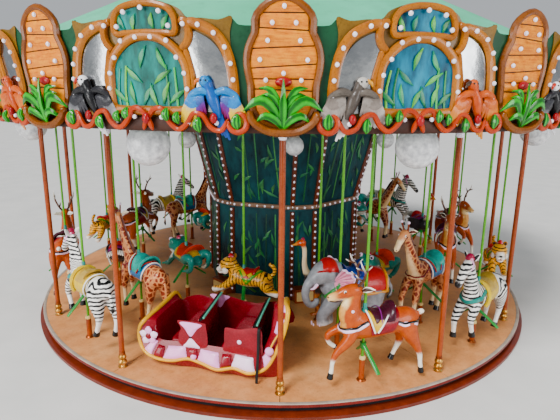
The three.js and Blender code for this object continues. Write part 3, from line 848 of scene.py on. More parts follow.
# Azimuths in degrees, radius of the ring and height of the large globes, and of the small one in each sixth
GLOBES = ((-20, 20, 70, 110, 160, 200, 250, 290), 4.02, 2.79)
SMALL_GLOBES = (5, 1.84, 2.58)
SMALL_GLOBE_RADIUS = .14


def globe(radius, height):
    """Opal globe with a grey collar, on a stem from the ceiling. The globe's grey is painted shade on white
    opal.
    """
    stem = [[.004, height], [.026, height], [.026, CEILING - .02], [.07, CEILING - .012],
            [.07, CEILING + .001], [.004, CEILING + .001]]
    top = height + radius
    collar = [[.02, top - .02], [.075, top - .02], [.06, top + .02], [.02, top + .02]]
    return [("Opal globe", ball((0, 0, height), radius, 30, 18)), ("Trim enamel grey", lathe(stem, 16)),
            ("Trim enamel grey", lathe(collar, 14, loop=True))]


ROOF_SEAMS = 24
SEAM_HEIGHT = .012


def roof_shell():
    """Cone with shallow standing seams: height falls with the radius, and rises a little at each seam."""
    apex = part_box("roof")[1][2] - .015
    wall_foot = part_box("roof")[0][2] + .003
    angle = np.arange(288) / 288 * TURN
    seam = np.maximum(np.cos(angle * ROOF_SEAMS), 0) ** 40
    shares = np.array([.01, .05, .12, .2, .3, .4, .5, .6, .7, .8, .9, .98, 1.0, 1.0, .99, .99, .5, .01])
    reach = shares * (ROOF_RADIUS - .002)
    height = apex - reach * ROOF_SLOPE
    height[13:] = [wall_foot, wall_foot, height[12] - .06, height[6] - .07, apex - .09]
    lift = np.where(np.arange(len(reach)) < 13, SEAM_HEIGHT, 0)[:, None] * seam
    rings = round_axis(reach[:, None], angle, height[:, None] + lift)
    return [("Roof gelcoat mint", surface(rings))]


def finial_top():
    """A turned bell and stem: a smooth profile, given as radius and depth under the tip, about Z."""
    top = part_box("finial")[1][2]
    profile = [[.01, .51], [.19, .5], [.19, .47], [.1, .4], [.075, .36], [.11, .33], [.145, .27],
               [.15, .235], [.12, .18], [.06, .13], [.035, .08], [.02, .03], [.01, .002]]
    return [("Gold paint", lathe(curve(np.array([0, top]) + np.array(profile) * [1, -1], 48), 32))]


# Fascia

SHIELD = [[0, 2.985], [.2, 3.04], [.285, 3.165], [.3, 3.275], [.302, 3.37], [.322, 3.47], [.335, 3.57],
          [.322, 3.67], [.285, 3.76], [.257, 3.82], [.254, 3.935], [.155, 4.04], [0, 4.095]]
PLANK_GAPS = [[3.1, 0.0], [3.34, .03], [3.43, 0.0], [3.535, -.07], [3.685, -.05], [3.825, .05], [3.95, 0.0],
              [4.06, 0.0]]
SHIELD_RIM = .062
# Degrees within a sixth of the ring
SHIELD_PLACES = (0, 30)
ARCH_PLACES = (15, 45)


def plank(low, high):
    """One plank: a grid between two slanted gaps whose ends follow the shield's rim, domed to the front."""
    u, v = np.meshgrid(np.linspace(-1, 1, 11), np.linspace(0, 1, 5))
    reach = np.interp(low[0] + (high[0] - low[0]) * v, *np.array(SHIELD).T[::-1]) - SHIELD_RIM
    x = u * np.maximum(reach, .03)
    z = (low[0] + low[1] * x + .0055) * (1 - v) + (high[0] + high[1] * x - .0055) * v
    dome = .012 * (1 - u**8) * (1 - np.abs(2 * v - 1) ** 6)
    return slab(xyz(x, .055 + dome, z), xyz(x, .045, z))


def on_both_sides(places, out):
    """Places in x and z, each again on the other side unless it is on the middle line."""
    return [[side * x, out, z] for x, z in places for side in ((1, -1) if x else (1,))]


def shield_board():
    """The tall shield: a dark back plate, seven planks, a rim set in from the outline, a bowl and bulbs."""
    outline = mirrored(SHIELD)
    middle = np.array([0, 3.56])
    rim = middle + (outline - middle) * [.905, .945]
    planks = [("Plank gelcoat", plank(low, high)) for low, high in zip(PLANK_GAPS, PLANK_GAPS[1:])]
    places = [[0, 3.995], [.094, 3.87], [.13, 3.733], [.193, 3.583], [.145, 3.42]]
    lights = on_both_sides(places, .082) + [[0, .09, 3.475]]
    bowl = rail([[-.285, 3.17], [-.25, 3.08], [-.14, 3.005], [0, 2.985], [.14, 3.005], [.25, 3.08],
                 [.285, 3.17]], .12, (.045, .036), 32)
    return [("Shadow gelcoat brown", plate(outline, .046, -.01)),
            ("Shield gelcoat brown", bead(rim, .05, (.034, .033), 8)),
            ("Shield gelcoat brown", bowl), *planks, bulbs(lights, sizes().bulb_radius)]


def leaf_cluster():
    """Leaves that spring from the bowl and curl over, and a red flower behind them."""
    parts = [("Bud gelcoat red", ball((0, .08, 3.405), (.072, .028, .042)))]
    pairs = [
        ([[0, .09, 3.04], [.1, .14, 3.205], [.2, .16, 3.255], [.33, .12, 3.165]], [.02, .046, .048, .003]),
        ([[0, .08, 3.1], [.05, .12, 3.26], [.11, .14, 3.345], [.2, .12, 3.355]], [.015, .032, .032, .003]),
        ([[0, .08, 3.12], [.06, .13, 3.25], [.12, .13, 3.3], [.195, .11, 3.29]], [.015, .028, .026, .003]),
        ([[0, .09, 3.02], [.07, .15, 3.1], [.15, .16, 3.13], [.22, .13, 3.075]], [.02, .036, .036, .004]),
    ]
    for knots, widths in pairs:
        for side in (1, -1):
            parts.append(("Leaf gelcoat bright", blade(np.array(knots) * [side, 1, 1], widths, .016)))
    middle = blade([[0, .1, 3.02], [0, .155, 3.22], [0, .14, 3.43]], [.03, .036, .004], .018)
    return parts + [("Leaf gelcoat bright", middle)]


MIRROR = [[.41, 3.18], [.71, 3.18], [.72, 3.41], [.675, 3.6], [.6, 3.715], [.5, 3.785], [.41, 3.81],
          [.36, 3.77], [.345, 3.67], [.39, 3.45]]
BOARD = [[0, 3.03], [.5, 3.02], [.77, 3.03], [.8, 3.2], [.8, 3.38], [.775, 3.52], [.745, 3.65], [.735, 3.8],
         [.755, 3.925], [.64, 3.9], [.5, 3.915], [.38, 3.92], [.31, 3.99], [.16, 4.045], [0, 4.06]]
WINDOW = [[0, 3.18], [.25, 3.18], [.335, 3.22], [.335, 3.45], [.305, 3.56], [.215, 3.66], [.1, 3.72],
          [0, 3.737]]
WINDOW_RIM = [[0, 3.155], [.27, 3.155], [.362, 3.2], [.365, 3.45], [.335, 3.58], [.24, 3.69], [.12, 3.765],
              [0, 3.78]]
ATTIC = [[0, 3.825], [.15, 3.82], [.245, 3.82], [.25, 3.89], [.205, 3.965], [.1, 4.0], [0, 4.008]]
ATTIC_RIM = [[0, 3.805], [.17, 3.8], [.27, 3.8], [.28, 3.9], [.225, 3.99], [.11, 4.028], [0, 4.036]]
MIRROR_RIM = [[.35, 3.868], [.42, 3.875], [.5, 3.852], [.614, 3.79], [.695, 3.68], [.738, 3.55], [.757, 3.42],
              [.765, 3.28], [.745, 3.1]]
EAR = [[.315, 3.66], [.375, 3.72], [.395, 3.8], [.372, 3.88], [.31, 3.9]]
MIRROR_SIDE = [[.4, 3.3], [.415, 3.42], [.385, 3.56], [.355, 3.68]]
ARCH_LIGHTS = [[0, 3.995], [.16, 3.965], [.235, 3.85], [.07, 3.765], [.21, 3.735], [.29, 3.6], [.35, 3.47],
               [.37, 3.34], [.372, 3.22], [.36, 3.862], [.485, 3.855], [.614, 3.79], [.7, 3.68],
               [.745, 3.55], [.764, 3.42], [.77, 3.29], [.13, 3.1], [.375, 3.06], [.62, 3.06]]
WINDOW_LEAVES = [(-.2, 3.22, -.9), (-.14, 3.21, -.3), (-.08, 3.2, .3), (.05, 3.2, -.5), (.13, 3.21, .2),
                 (.21, 3.22, .8), (-.22, 3.5, 2.2), (.2, 3.52, -2.3), (0.0, 3.7, 2.8), (-.1, 3.68, -2.7),
                 (-.17, 3.83, -.5), (-.09, 3.83, .1), (.1, 3.83, -.2), (.18, 3.83, .4)]


def window_leaves(kind):
    """Generic jungle leaves and canes in low relief over a window's mural. Each kind shifts the greens."""
    greens = ["#0a7637", "#1c993f", "#005f30", "#4fa52d", "#02765d"]
    parts = []
    for number, x in enumerate((-.27, -.19, .22, .29)):
        cane = limb([[x, .056, 3.19, .005, .013], [x + .01, .056, 3.34, .005, .012],
                     [x * .93, .056, 3.6 - abs(x) * .3, .005, .01]], 6, 6)
        parts.append(hand(cane, greens[(number + kind) % 5]))
    for number, (x, z, angle) in enumerate(WINDOW_LEAVES):
        step = np.array([math.sin(angle), 0, math.cos(angle)]) * (.13 if z > 3.8 else .2)
        root = np.array([x, .058, z])
        frond = blade([root, root + step / 2 + [.015, .004, 0], root + step], [.006, .028, .002], .006, 6, 5)
        colours = [greens[(number + kind) % 5], greens[(number + 2) % 5]]
        parts.append((PAINTED, tinted(frond, colours)))
    return parts


def arch_frames():
    """Moulded rims of the window, the small window over it, and the mirror frames at both sides."""
    parts = [("Frame gelcoat ochre", bead(mirrored(WINDOW_RIM), .06, (.036, .04), 8)),
             ("Frame gelcoat ochre", bead(mirrored(ATTIC_RIM), .06, (.032, .028), 8))]
    for side in (1, -1):
        for knots, size in ((MIRROR_RIM, (.034, .045)), (EAR, (.038, .034)), (MIRROR_SIDE, (.026, .026))):
            parts.append(("Frame gelcoat ochre", rail(np.array(knots) * [side, 1], .055, size, 22, 8)))
    return parts


def arch_board(kind):
    """The wide panel between two shields: board, windows, mirrors, frames and bulbs. Its windows are blue in
    kind 0 and green in kind 1."""
    pane = "Window mural green" if kind else "Window mural blue"
    lights = on_both_sides(ARCH_LIGHTS, .095)
    parts = [("Board gelcoat olive", plate(mirrored(BOARD, 100), .035, -.01)),
             (pane, plate(mirrored(WINDOW), .05, .03)), (pane, plate(mirrored(ATTIC), .05, .03))]
    for side in (1, -1):
        outline = curve(np.array(MIRROR) * [side, 1], 40, loop=True)
        parts.append(("Polished steel sheet", plate(outline, .046, .03, swell=.006)))
    return parts + arch_frames() + window_leaves(kind) + [bulbs(lights, sizes().bulb_radius)]


def side_strip():
    """Dark green board with a wavy top that fills the gaps beside a shield."""
    half = [[0, 3.0], [.4, 3.0], [.43, 3.15], [.42, 3.35], [.45, 3.55], [.47, 3.75], [.455, 3.93], [.4, 3.88],
            [.32, 3.855], [0, 3.86]]
    return [("Backing gelcoat green", plate(mirrored(half), .025, -.015))]


def scroll(middle, radius, start, sweep, size):
    """An open ring of oval section, thinner towards its ends."""
    angle = start + np.linspace(0, sweep, 22)
    path = xyz(middle[0] + radius * np.cos(angle), .105, middle[1] + radius * np.sin(angle))
    taper = np.sqrt(np.maximum(1 - np.linspace(-1, 1, 22) ** 4, .05))[:, None]
    return tube(path, np.array([[size, size]]) * taper, 8)


VINE = [[.72, 3.1], [.66, 3.0], [.57, 3.02], [.5, 3.12], [.42, 3.14], [.36, 3.05], [.28, 3.0], [.2, 3.06],
        [.135, 3.17], [.05, 3.16], [-.02, 3.06], [-.05, 2.985]]


def garland():
    """Vine with rings, S curls, striped leaves and buds along the foot of the fascia."""
    parts = [("Bud gelcoat red", ball((0.0, .13, 3.09), (.035, .03, .05)))]
    for side in (1, -1):
        ring = scroll((.8 * side, 3.065), .078, -4.4 if side > 0 else -5.0, 5.2, .027)
        vine = rail(np.array(VINE) * [side, 1], .1 + .01 * side, (.028, .025), 48)
        parts += [("Vine gelcoat orange", ring), ("Vine gelcoat orange", vine)]
        for x, z, size in ((.8, 3.075, .055), (.47, 3.045, .05), (.19, 3.125, .045), (.285, 3.1, .04)):
            foot, middle, tip = z - 1.25 * size, z, z + 1.25 * size
            knots = [[x * side, .1, foot], [x * side + .01, .135, middle], [x * side, .11, tip]]
            parts.append(("Leaf gelcoat striped", blade(knots, [.008, size * .85, size * .8, .008], .022)))
        parts.append(("Bud gelcoat red", ball((.6 * side, .12, 3.1), (.032, .03, .045))))
    return parts


def fascia_ring():
    """The plain drum behind the boards."""
    low, high = DECK_TOP + 2.975, DECK_TOP + 3.72
    wall = [[4.425, low], [4.49, low], [4.495, low + .01], [4.495, high - .01], [4.49, high], [4.425, high]]
    foot = [[4.49, low - .002], [4.56, low], [4.575, low + .03], [4.56, low + .12], [4.49, low + .13]]
    return [("Backing gelcoat green", lathe(wall, 144, loop=True)),
            ("Shadow gelcoat brown", lathe(foot, 144, loop=True))]


# Birds of the fascia

WING_TIPS = [[.285, 3.06], [.265, 3.03], [.235, 3.01], [.205, 3.01], [.17, 3.03], [.135, 3.06], [.1, 3.1],
             [.07, 3.13]]
FEATHER_WIDTHS = .028 * np.array([.6, 1, .95, .35])
# Azimuth in degrees: colours of the back, outer feathers, inner feathers, tail, head and beak, and the side
# that the head faces
BIRDS = {
    7.5: ("#4a423c", ["#5a524a", "#8c8078", "#dccfca"], ["#5a524a", "#a39a92"], ["#6d645c", "#ebe7e2"],
          "#b9b4ac", "#d89400", -1),
    22.5: ("#b24100", ["#b94b00", "#cb6700", "#d29104"], ["#ab3e00", "#bf5a00"], ["#b94600", "#cd7f15"],
           "#bb4800", "#3a2a20", 1),
    37.5: ("#141417", ["#1a1a1e", "#2c2c32", "#e9e9ec"], ["#141417", "#3a3a40"], ["#1d1d20", "#e4e4e8"],
           "#e9e9ec", "#ab210b", 1),
    52.5: ("#004f9c", ["#0078b8", "#0066b0", "#e0b400", "#e6bc00", "#e6bc00"],
           ["#0078b8", "#4a1080", "#8c0040"], ["#004f9c", "#003c8c"], "#0074b4", "#cd6605", 1),
}


def wing(side, outer_colours, inner_colours):
    """A fan of feathers from the shoulder, longest at the outer edge, in two layers."""
    parts = []
    for layer, reach in ((0, 1.0), (1, .62)):
        for number, tip in enumerate(WING_TIPS):
            root = np.array([.16 * side * (1 - .06 * number), .075 + .012 * layer, 3.3])
            end = root + (np.array([tip[0] * side, .06, tip[1]]) - root) * reach
            feather = leaf(root, end, [.012 * side, .035, .01], FEATHER_WIDTHS, .008)
            colours = outer_colours if number < 5 else inner_colours
            parts.append((PAINTED, tinted(feather, colours if layer == 0 else colours[:2])))
    return parts


def bird(back, wing_colours, inner_colours, tail_colours, head_colour, beak, facing):
    """A spread-winged bird with its head up, hanging over the foot of the fascia. Heights are from the deck,
    and its head faces one side or the other."""
    turned = np.array([facing, 1, 1, 1])
    body = limb(np.array([[.065, .07, 3.43, .012], [.055, .085, 3.4, .048], [.03, .085, 3.34, .04],
                          [0, .085, 3.27, .055], [-.03, .08, 3.17, .04], [-.05, .075, 3.1, .02]])
                * turned, 15, 10)
    head = ball((.065 * facing, .095, 3.405), (.05, .045, .05), 14, 9)
    bill = limb(np.array([[.1, .1, 3.42, .022], [.135, .11, 3.405, .016], [.15, .11, 3.375, .005]])
                * turned, 8, 8)
    parts = [hand(body, back), hand(head, head_colour), hand(bill, beak)]
    for x in (.045, .088):
        parts.append((GLOSS, ball((x * facing, .136, 3.415), .009, 8, 5)))
    for side in (1, -1):
        arm = limb([[.03 * side, .085, 3.31, .03], [.1 * side, .1, 3.33, .034], [.19 * side, .09, 3.29, .026],
                    [.225 * side, .085, 3.22, .016]], 12, 8)
        parts.append(hand(arm, wing_colours[0]))
        parts += wing(side, wing_colours, inner_colours)
    for number, x in enumerate((-.03, 0.0, .03)):
        tail = blade(np.array([[-.045 + x * .3, .07, 3.14], [-.075 + x * .7, .075, 3.02],
                               [-.105 + x, .06, 2.915 + .02 * number]]) * turned[:3],
                     [.02, .022, .01], .01, 9, 6)
        parts.append((PAINTED, tinted(tail, tail_colours)))
    return parts


# Chariot

RIM = np.array([
    [-.78, .49, .17], [-.6, .545, .11], [-.4, .53, .135], [-.2, .56, .1], [0.0, .53, .13],
    [.2, .51, .15], [.4, .54, .11], [.62, .54, .11], [.79, .51, .17], [.875, .47, .3],
    [.885, .43, .43], [.83, .38, .525], [.785, .12, .575], [.785, -.12, .585], [.79, -.36, .59],
    [.77, -.45, .47], [.72, -.49, .28], [.6, -.51, .15], [.3, -.52, .12], [-.1, -.52, .12],
    [-.5, -.52, .12], [-.72, -.47, .16], [-.79, -.42, .34], [-.83, -.34, .58], [-.86, -.2, .76],
    [-.89, 0.0, .84], [-.95, .2, .875], [-1.01, .35, .85], [-.985, .42, .64], [-.9, .46, .38]])
SHOULDER = np.array([
    [-.72, .455, .33], [-.6, .455, .34], [-.4, .455, .34], [-.2, .455, .34], [0.0, .455, .34],
    [.2, .455, .34], [.4, .455, .33], [.55, .455, .32], [.66, .43, .34], [.7, .41, .4],
    [.72, .38, .47], [.735, .33, .53], [.735, .12, .545], [.735, -.12, .545], [.735, -.33, .53],
    [.72, -.4, .48], [.66, -.44, .46], [.5, -.455, .46], [.3, -.455, .5], [-.1, -.455, .52],
    [-.5, -.455, .54], [-.66, -.44, .56], [-.74, -.38, .6], [-.77, -.3, .68], [-.79, -.18, .76],
    [-.81, 0.0, .82], [-.83, .18, .855], [-.87, .29, .8], [-.85, .37, .62], [-.79, .42, .44]])


def hull():
    """The tub: closed rings from the foot over the rim and the shoulder down to the floor inside."""
    rim, shoulder = curve(RIM, 180, loop=True), curve(SHOULDER, 180, loop=True)
    foot = rim * [.86, .86, 0] + [-.02, 0, .004]
    skirt = rim * [.95, .95, .55] - [.005, 0, 0]
    lip = (rim + shoulder) / 2 + [0, 0, .004]
    inside = shoulder * [.96, .955, 1] - [0, 0, .01]
    lower = inside * [.9, .97, 0] + [0, 0, .2]
    floor = inside * [.84, .95, 0] + [0, 0, .1]
    return surface(np.stack([foot, skirt, rim, lip, shoulder, inside, lower, floor]))


def flank(start, end, low, high, narrow, out):
    """A raised patch on the tub's sloping side, between two places along the rim. Share 0 is at the rim
    and 1 at the shoulder, and the patch narrows towards the shoulder."""
    rim, shoulder = curve(RIM, 720, loop=True), curve(SHOULDER, 720, loop=True)
    v = np.linspace(low, high, 9)[:, None]
    u = np.linspace(-1, 1, 13)[None, :]
    at = (start + end) / 2 + u * (end - start) / 2 * (1 - narrow * (v - low))
    index = np.mod(np.round(at / len(RIM) * 720).astype(int), 720)
    grid = rim[index] * (1 - v[..., None]) + shoulder[index] * v[..., None]
    normal = unit(np.cross(np.gradient(grid, axis=1), np.gradient(grid, axis=0)))
    normal *= np.sign((normal * (grid - [0, 0, .2])).sum())
    dome = out * (1 - np.abs(u) ** 6) * (1 - np.abs(2 * (v - low) / (high - low) - 1) ** 6)
    return slab(grid + normal * (.004 + dome[..., None]), grid - normal * .01)


def chariot_petals():
    """Pink and white petals that alternate with red bumps along the skirt, and upright ones at the stern."""
    patches = [(PINK, 7.35, 8.1, .06, .85, .3, .022),
               (PINK, 29.35, 30.05, .06, .8, .4, .022)]
    for start, petal in ((.65, WHITE), (2.85, PINK), (5.05, PINK)):
        patches.append((petal, start, start + 1.5, .06, .74, .35, .024))
        patches.append((TUB, start + 1.52, start + 2.18, .08, .72, .2, .04))
    for start, petal in ((15.6, WHITE), (17.6, PINK), (19.3, WHITE),
                         (21.0, PINK)):
        patches.append((petal, start, start + .9, .05, .7, .4, .02))
    for number in range(5):
        patches.append((PINK, 22.4 + number * 1.25, 23.3 + number * 1.25, .12, .9, .4, .02))
    return [(finish, flank(*where)) for finish, *where in patches]


SEAT_SKEW = .09
BACK_BOARD = [[-.43, .1], [.43, .1], [.44, .45], [.43, .62], [.36, .655], [0, .635], [-.36, .655],
              [-.43, .62], [-.44, .45]]


def chariot_seats():
    """Two benches, each with a rounded seat, a leaning back, and a grip bar along its top."""
    parts = []
    for back, front in ((.13, .46), (-.55, -.2)):
        board = plate(curve(BACK_BOARD, 60, loop=True), .03, -.03, swell=.012)
        across, deep, up = board.points.T
        lean = deep + back - (up - .35) * .12 - SEAT_SKEW * across
        leaning = outward(Form(xyz(lean, across, up), board.faces))
        ends = np.array([[back - .036 - SEAT_SKEW * y, y, .64, .016] for y in (-.42, 0, .42)])
        pad = limb(ends, 10, 8, (1, 0, 0))
        grip = limb(ends * [1, .93, 1, .85] + [-.024, 0, .016, 0], 10, 10, (1, 0, 0))
        parts += [(TUB, cushion((back + .02, -.435, .06), (front, .435, .355), .16)),
                  (TUB, leaning), ("Strap rubber black", pad), ("Grip paint turquoise", grip)]
    return parts


def side_board(outline, y, thickness=.04, swell=.01):
    """A closed curve through the outline, as a board whose outer face lies at y."""
    return plate(curve(outline, 64, loop=True), y, y - thickness, swell)


ARM = [[-.02, .3], [.3, .3], [.33, .42], [.3, .52], [.34, .6], [.3, .625], [.02, .625], [-.03, .58]]
BOW_TOP = np.array([[.03, .605], [.3, .605], [.24, .52], [.185, .435], [.15, .435], [.09, .53]])
BOW_FOOT = [[.155, .41], [.18, .41], [.23, .34], [.26, .29], [.06, .29], [.1, .35]]
DOOR = [[-.7, .3], [-.28, .3], [-.265, .42], [-.27, .58], [-.3, .615], [-.46, .615], [-.62, .655],
        [-.72, .64], [-.735, .5]]
INNER_SIDE = [[-.8, .3], [.66, .3], [.7, .46], [.6, .53], [.42, .57], [.28, .52], [.12, .58],
              [0.0, .6], [-.2, .56], [-.45, .55], [-.68, .6], [-.8, .62]]


def chariot_sides():
    """Outer arm with its bow of petals, the door with its knob, and the closed inner side."""
    return [(TUB, side_board(ARM, .468)),
            (PINK, side_board(BOW_TOP, .476, .012, .014)),
            (WHITE, side_board(BOW_FOOT, .476, .012, .014)),
            (TUB, side_board(DOOR, .47, .04, .018)),
            (WHITE, ball((-.46, .487, .46), (.028, .014, .028), 16, 8)),
            (TUB, side_board(INNER_SIDE, -.425, .035)),
            (PINK, side_board(BOW_TOP - [.02, 0.0], -.412, .012)),
            ("Strap rubber black", ball((.168, .486, .425), (.018, .008, .012), 12, 6)),
            (PINK, ball((.12, .52, .195), (.04, .03, .04), 16, 10))]


def chariot_flower(centre):
    """A knob with five petals round it, in white and pink by turns."""
    parts = [(TUB, ball(centre + [0, .018, 0], (.04, .02, .04), 14, 8))]
    for number in range(5):
        angle = number / 5 * TURN + .3
        reach = np.array([math.cos(angle), 0, math.sin(angle)])
        petal = blade([centre + reach * .014, centre + reach * .072 + [0, .012, 0], centre + reach * .124],
                      [.016, .044, .048, .014], .016, 9, 8)
        parts.append((PINK if number % 2 else WHITE, petal))
    return parts


def chariot_trim():
    """Rolled rim, flower at the prow, ball on its stem, and the strap that hangs to the deck."""
    rim = curve(RIM, 220, loop=True)
    roll = tube(rim, .022 + .006 * rise(rim[:, 2], .3, .55), 10, (.3, .2, 1), loop=True)
    stem = limb([[-.93, .43, .62, .009], [-.88, .465, .53, .01], [-.84, .49, .44, .01]], 10, 8)
    strap_path = curve([[-.7, .4, .64], [-.7, .47, .66], [-.7, .497, .62], [-.7, .51, .4],
                        [-.7, .555, .15], [-.7, .575, .012]], 24)
    return [("Roll gelcoat yellow", roll), ("Roll gelcoat yellow", stem),
            (PINK, ball((-.83, .495, .405), (.052, .045, .05), 18, 12)),
            ("Strap rubber black", tube(strap_path, [[.017, .004]], 6, (1, 0, 0))),
            *chariot_flower(np.array([.735, .472, .36]))]


# Figures

def read_mesh(thing):
    """Points and triangles of an object after its modifiers."""
    skin = thing.evaluated_get(bpy.context.evaluated_depsgraph_get()).to_mesh()
    skin.calc_loop_triangles()
    points = np.empty(len(skin.vertices) * 3)
    skin.vertices.foreach_get("co", points)
    faces = np.empty(len(skin.loop_triangles) * 3, np.int32)
    skin.loop_triangles.foreach_get("vertices", faces)
    return points.reshape(-1, 3), faces.reshape(-1, 3)


SKIN_SHARE = .37


def moulded(limbs, grain):
    """One skin round overlapping limbs: remade on a grid of the grain's size, smoothed, and thinned out
    where it is flat."""
    form = joined(limb(knots, 18, 16) for knots in limbs.values())
    mesh = bpy.data.meshes.new("limbs")
    mesh.from_pydata(form.points, [], form.faces)
    thing = bpy.data.objects.new("limbs", mesh)
    bpy.context.scene.collection.objects.link(thing)
    skin = thing.modifiers.new("skin", "REMESH")
    skin.mode = "VOXEL"
    skin.voxel_size = grain
    soft = thing.modifiers.new("soft", "SMOOTH")
    soft.factor = .5
    soft.iterations = 4
    thin = thing.modifiers.new("thin", "DECIMATE")
    thin.ratio = SKIN_SHARE
    points, faces = read_mesh(thing)
    bpy.data.objects.remove(thing)
    bpy.data.meshes.remove(mesh)
    return outward(Form(points, faces))


def nearest_limb(points, limbs):
    """For each point the name of the limb that it is nearest to, in units of that limb's thickness."""
    gaps = []
    for knots in limbs.values():
        line = curve(knots, 40)
        thickness = np.maximum(line[:, 3:].mean(axis=1), .02)
        gaps.append((np.linalg.norm(points[:, None] - line[None, :, :3], axis=-1) / thickness).min(axis=1))
    return np.array(list(limbs))[np.argmin(gaps, axis=0)]


def coated(form, ground, coats):
    """Paint built up from a ground colour and coats of weight and colour."""
    paint = np.tile(linear(ground)[:3], (len(form.points), 1))
    for weight, colour in coats:
        weight = np.asarray(weight, float)[:, None]
        paint = paint * (1 - weight) + linear(colour)[:3] * weight
    return form.carrying(paint=paint)


def normals(form):
    """The mean direction of the triangles at each point, weighed by their area."""
    corners = form.points[form.faces]
    facing = np.cross(corners[:, 1] - corners[:, 0], corners[:, 2] - corners[:, 0])
    total = [np.bincount(form.faces.ravel(), np.repeat(facing[:, i], 3), len(form.points)) for i in range(3)]
    return unit(np.stack(total, -1))


def laid(path, hide, out, reach=.03):
    """Moves a path onto the hide: each point goes to the mean of the hide near it, and out by its normal."""
    gap = np.linalg.norm(path[:, None] - hide.points[None], axis=-1)
    weight = np.exp(-((gap - gap.min(axis=1, keepdims=True)) / reach) ** 2)
    weight /= weight.sum(axis=1, keepdims=True)
    facing = unit(weight @ normals(hide))
    return weight @ hide.points + facing * out, facing


def strap(knots, hide, half_width, finish, out=.008, wave=0.0, thickness=.006):
    """A flat band that follows the hide. A wave gives it a scalloped edge."""
    path, facing = laid(curve(knots, 40), hide, out)
    wide = half_width + wave * np.abs(np.sin(np.linspace(0, 13, 40)))
    return finish, tube(path, np.stack([np.full(40, thickness), wide], -1), 8, facing)


def both_sides(knots):
    """Knots from the near side to the middle line, carried on to the far side."""
    knots = np.asarray(knots, float)
    across = np.ones(knots.shape[1])
    across[1] = -1
    return np.vstack([knots, (knots[:-1] * across)[::-1]])


def over_back(body, x, angle, out):
    """A point over the body at a place along it and an angle from the top, this far off the skin."""
    line = curve(body, 60)
    line = line[np.argsort(line[:, 0])]
    z, wide, deep = (np.interp(x, line[:, 0], line[:, i]) for i in (2, 3, 4))
    return xyz(x, (wide + out) * np.sin(angle), z + (deep + out) * np.cos(angle))


def edge_place(side, place, shift=0.0, power=1):
    """Where a cloth's edge lies along the back: its place, and a shift by a power of the way to the flank."""
    return place + shift * side**power


def drape(body, spread, back, front, out, thickness=.016, rows=23, columns=10):
    """A cloth over the back: rows from one flank to the other, each from its back to its front edge."""
    angle = np.linspace(-spread, spread, rows)[:, None]
    share = np.linspace(0, 1, columns)[None, :]
    side = np.abs(angle / spread)
    x = edge_place(side, *back) * (1 - share) + edge_place(side, *front) * share
    lift = out(side, share) if callable(out) else np.full(x.shape, out)
    lift = lift - .4 * thickness * np.maximum(np.abs(2 * share - 1) ** 8, side**10)
    return slab(over_back(body, x, angle, lift), over_back(body, x, angle, lift - thickness))


def hem(body, spread, edge, out, radius=.008, rows=29):
    """A cord along an edge of a cloth."""
    angle = np.linspace(-spread, spread, rows)
    path = over_back(body, edge_place(np.abs(angle / spread), *edge), angle, out)
    return tube(path, radius, 6, (1, 0, 0))


def saddle(body, back, front, colour, spread=.95, cantle=.075, pommel=.03):
    """A seat that rises to a cantle at the back and a low pommel at the front."""
    def lift(side, share):
        """Height off the skin: highest along the back, and two fifths of that rise at the flanks."""
        return .026 + (cantle * (1 - rise(share, 0, .4)) + pommel * rise(share, .75, 1)) * (1 - .6 * side**2)
    seat = drape(body, spread, (back, .05), (front, -.05), lift, .03)
    return PAINTED, seat.painted(colour)


def eyes(x, y, z, radius):
    """A white eye on both sides, with a dark iris that looks a little forward and out."""
    parts = []
    for side in (1, -1):
        white = ball((x, y * side, z), (radius, radius * .5, radius))
        iris = ball((x + radius * .15, (y + radius * .22) * side, z), np.array([.62, .45, .62]) * radius)
        parts += [hand(white, "#f4f0e8"), (GLOSS, iris)]
    return parts


def ears(root, tip, width, outside, inside, rim=None):
    """A pair of pointed ears, of another colour inside."""
    parts = []
    for side in (1, -1):
        a, b = np.array(root) * [1, side, 1], np.array(tip) * [1, side, 1]
        middle = (a + b) / 2 + [.01, 0, .01]
        facing = (.9, .35 * side, .1)
        outer = blade([a, middle, b], [width * .5, width, width * .8, .004], .01, 10, 8, facing)
        inner = blade([a + [.01, 0, 0], middle + [.014, 0, 0], b + [.006, 0, -.008]],
                      [width * .3, width * .62, width * .5, .003], .007, 10, 8, facing)
        parts.append(hand(outer, rim or outside))
        parts.append(hand(inner, inside))
    return parts


LEGS = ("front_near", "front_far", "hind_near", "hind_far")


def spine(*knots):
    """Knots on the middle line, from their place, height and half sizes."""
    return [[x, 0, z, *size] for x, z, *size in knots]


def leg(side, reach, *knots):
    """Knots of a leg, from their place, height and radius. Reach is how far out they lie from the hip down,
    and the last one holds on."""
    out = [*reach, *[reach[-1]] * (len(knots) - len(reach))]
    return [[x, side * y, z, radius] for (x, z, radius), y in zip(knots, out)]


def skin(limbs, grain):
    """The moulded hide, the x, y and z of its points, and the limb that each belongs to."""
    hide = moulded(limbs, grain)
    return hide, *hide.points.T, nearest_limb(hide.points, limbs)


def hooves(limbs):
    """A flared hoof on the end of each leg: a limb that runs on from it, wider by these shares."""
    steps = [(-.012, .7), (-.006, 1.06), (.0275, 1.16), (.055, 1.3), (.061, .9)]
    parts = []
    for name in LEGS:
        last, end = np.array(limbs[name][-2][:3]), np.array(limbs[name][-1][:3])
        radius = limbs[name][-1][3]
        knots = [[*(end + unit(end - last) * step), radius * share] for step, share in steps]
        parts.append((GLOSS, limb(knots, 10, 12)))
    return parts


